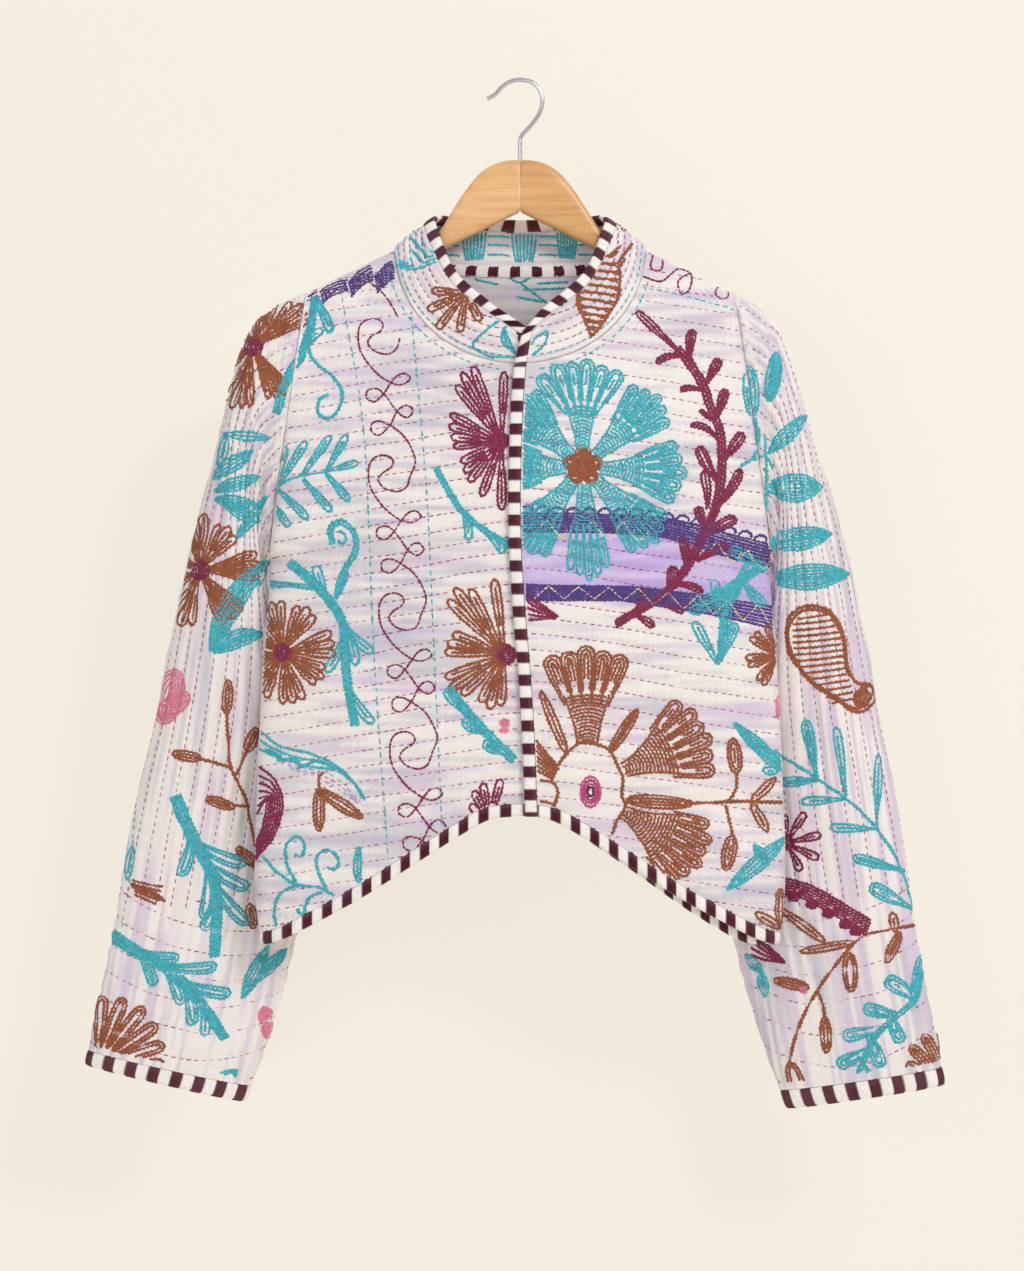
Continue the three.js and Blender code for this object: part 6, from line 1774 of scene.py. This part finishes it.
works = {
    "frontRight": Needlework("front_right_stitches", bodySurface("front", -1), bodyChart("front", -1)),
    "frontLeft": Needlework("front_left_stitches", bodySurface("front", 1), bodyChart("front", 1)),
    "back": Needlework("back_stitches", bodySurface("back", 0), bodyChart("back", 0)),
    "backInside": Needlework("back_inside_stitches", bodySurface("back", 0, True), behindChart),
    "sleeveRight": Needlework("sleeve_right_stitches", sleeveSurface(-1), sleeveChart(-1)),
    "sleeveLeft": Needlework("sleeve_left_stitches", sleeveSurface(1), sleeveChart(1)),
    "sleeveRightBack": Needlework("sleeve_right_back_stitches", sleeveSurface(-1), sleeveChart(-1, True)),
    "sleeveLeftBack": Needlework("sleeve_left_back_stitches", sleeveSurface(1), sleeveChart(1, True)),
    "collarRight": Needlework("collar_right_stitches", collarSurface(), collarChart(-1)),
    "collarLeft": Needlework("collar_left_stitches", collarSurface(), collarChart(1)),
    "collarInside": Needlework("collar_inside_stitches", collarSurface(True), collarInsideChart()),
}
for key in ("frontRight", "frontLeft", "back"):
    bodyRows(works[key])
for key in ("sleeveRight", "sleeveLeft"):
    sleeveRows(works[key])
collarRows(works["collarRight"])
seamRows(works["frontRight"], -1)
seamRows(works["frontLeft"], 1)
drawRightFront(works["frontRight"])
drawLeftFront(works["frontLeft"])
drawRightSleeve(works["sleeveRight"])
drawLeftSleeve(works["sleeveLeft"])
for key in ("frontRight", "sleeveRight"):
    drawRightShoulder(works[key])
for key in ("frontLeft", "sleeveLeft"):
    drawLeftShoulder(works[key])
drawCollarRight(works["collarRight"])
drawCollarLeft(works["collarLeft"])
drawInside(works["collarInside"], works["backInside"])
drawBack(works["back"])
drawSleeveBack(works["sleeveRightBack"], -1)
drawSleeveBack(works["sleeveLeftBack"], 1)
stitches = {key: work.make(stitchThread) for key, work in works.items()}
print("stitches done")

# What each piece stands for, how the cloth was cut, and what it is finished with
panels = [(frontRight, "front_right", ["frontRight"], ["frontRight", "hemRight"], (0.24, 0.56), 0.092),
          (frontLeft, "front_left", ["frontLeft"], ["frontLeft", "hemLeft"], (0.24, 0.56), 0.09),
          (backPanel, "back", ["back", "backInside"], ["hemBack"], (0.46, 0.58), 0.2),
          (sleeveRight, "sleeve_right", ["sleeveRight", "sleeveRightBack"], ["cuffRight"], (0.4, 0.62),
           0.165), (sleeveLeft, "sleeve_left", ["sleeveLeft", "sleeveLeftBack"], ["cuffLeft"], (0.4, 0.62),
                    0.165), (collarPiece, "collar", ["collarRight", "collarLeft", "collarInside"],
                             ["collar", "neck"], (0.5, 0.06), 0.018), ]
everything = [rightArm, leftArm, hook]
for piece, node, sewing, edges, size, area in panels:
    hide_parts(node)
    sewn = [stitches[key] for key in sewing]
    bound = [part for key in edges for part in bindings[key]]
    everything += [piece] + sewn + bound
for obj in everything:
    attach(obj, "root")

# Stage: a wall close behind, which glows with painted light so that the shadows cast on it fade, a pale
# floor, soft studio light, and the camera
# The wall's own colour is a dark grey. Its glow, painted light, makes it look pale and fades the shadows on
# it
stage = {"wallY": 0.15, "floorZ": -1.35, "wall": "7E7B75", "paintedGlow": "F1EBDE", "paintedGlowPower": 0.79,
         "floor": "EFEBE2"}


def stageMaterial(name, code):
    material, tree, shader = nodeMaterial(name, 0.95)
    place = addNode(tree, "ShaderNodeTexCoord")
    grainy = addNode(tree, "ShaderNodeTexNoise", Vector=place.outputs["Object"], Scale=60.0, Detail=4.0)
    ramp = addNode(tree, "ShaderNodeValToRGB", Fac=grainy.outputs[0])
    ramp.color_ramp.elements[0].color = (*(colour(code) * 0.97), 1)
    ramp.color_ramp.elements[1].color = (*colour(code), 1)
    tree.links.new(ramp.outputs[0], shader.inputs["Base Color"])
    return material, tree, shader


def paintedGlowClearBehind(material, tree, shader):
    # Seen from behind, the wall lets the back of the jacket be looked at. Seen from the front, it glows with
    # painted light, which washes out the shadows cast on it
    # Painted light: the wall's emission, so the shadows cast on the wall fade
    shader.inputs["Emission Color"].default_value = (*colour(stage["paintedGlow"]), 1)
    shader.inputs["Emission Strength"].default_value = stage["paintedGlowPower"]
    facing = addNode(tree, "ShaderNodeNewGeometry")
    clear = addNode(tree, "ShaderNodeBsdfTransparent")
    mix = addNode(tree, "ShaderNodeMixShader", i0=facing.outputs["Backfacing"], i1=shader.outputs[0],
                  i2=clear.outputs[0])
    tree.links.new(mix.outputs[0], tree.nodes["Material Output"].inputs["Surface"])
    return material


def flatSheet(name, corners, material):
    mesh = bpy.data.meshes.new(name)
    mesh.from_pydata(corners, [], [(0, 1, 2, 3)])
    mesh.materials.append(material)
    obj = bpy.data.objects.new(name, mesh)
    bpy.context.collection.objects.link(obj)
    return obj


y, z = stage["wallY"], stage["floorZ"]
wall = flatSheet("studio_wall", [(-3, y, z), (3, y, z), (3, y, 2), (-3, y, 2)],
                 paintedGlowClearBehind(*stageMaterial("paleWall", stage["wall"])))
wall.visible_shadow = False
flatSheet("studio_floor", [(-4, -4, z), (4, -4, z), (4, 4, z), (-4, 4, z)],
          stageMaterial("paleFloor", stage["floor"])[0])


def areaLight(name, place, target, size, power, tint):
    light = bpy.data.lights.new(name, "AREA")
    light.shape = "DISK"
    light.size = size
    light.energy = power
    light.color = tint
    obj = bpy.data.objects.new(name, light)
    obj.location = place
    obj.rotation_euler = (Vector(target) - Vector(place)).to_track_quat("-Z", "Y").to_euler()
    bpy.context.collection.objects.link(obj)


middle = (0, 0, -0.44)
areaLight("key", (1.3, -1.9, 1.0), middle, 1.0, 30, (1, 0.985, 0.96))
areaLight("fill", (-1.3, -2.9, -0.3), middle, 2.6, 17, (0.98, 0.985, 1))
areaLight("behind", (0.5, 2.6, 0.6), middle, 2.2, 34, (1, 0.99, 0.97))
world = bpy.data.worlds.new("studio")
world.use_nodes = True
world.node_tree.nodes["Background"].inputs["Color"].default_value = (0.95, 0.96, 1, 1)
world.node_tree.nodes["Background"].inputs["Strength"].default_value = 0.6
bpy.context.scene.world = world
bpy.context.scene.view_settings.view_transform = "Standard"

cameraData = bpy.data.cameras.new("camera")
cameraData.lens = eye["sensor"] * eye["distance"] / eye["frameWide"]
cameraData.sensor_width = eye["sensor"]
camera = bpy.data.objects.new("camera", cameraData)
camera.location = (eye["x"] * mm, -eye["distance"] * mm, eye["z"] * mm)
camera.rotation_euler = (math.pi / 2, 0, 0)
bpy.context.collection.objects.link(camera)
bpy.context.scene.camera = camera
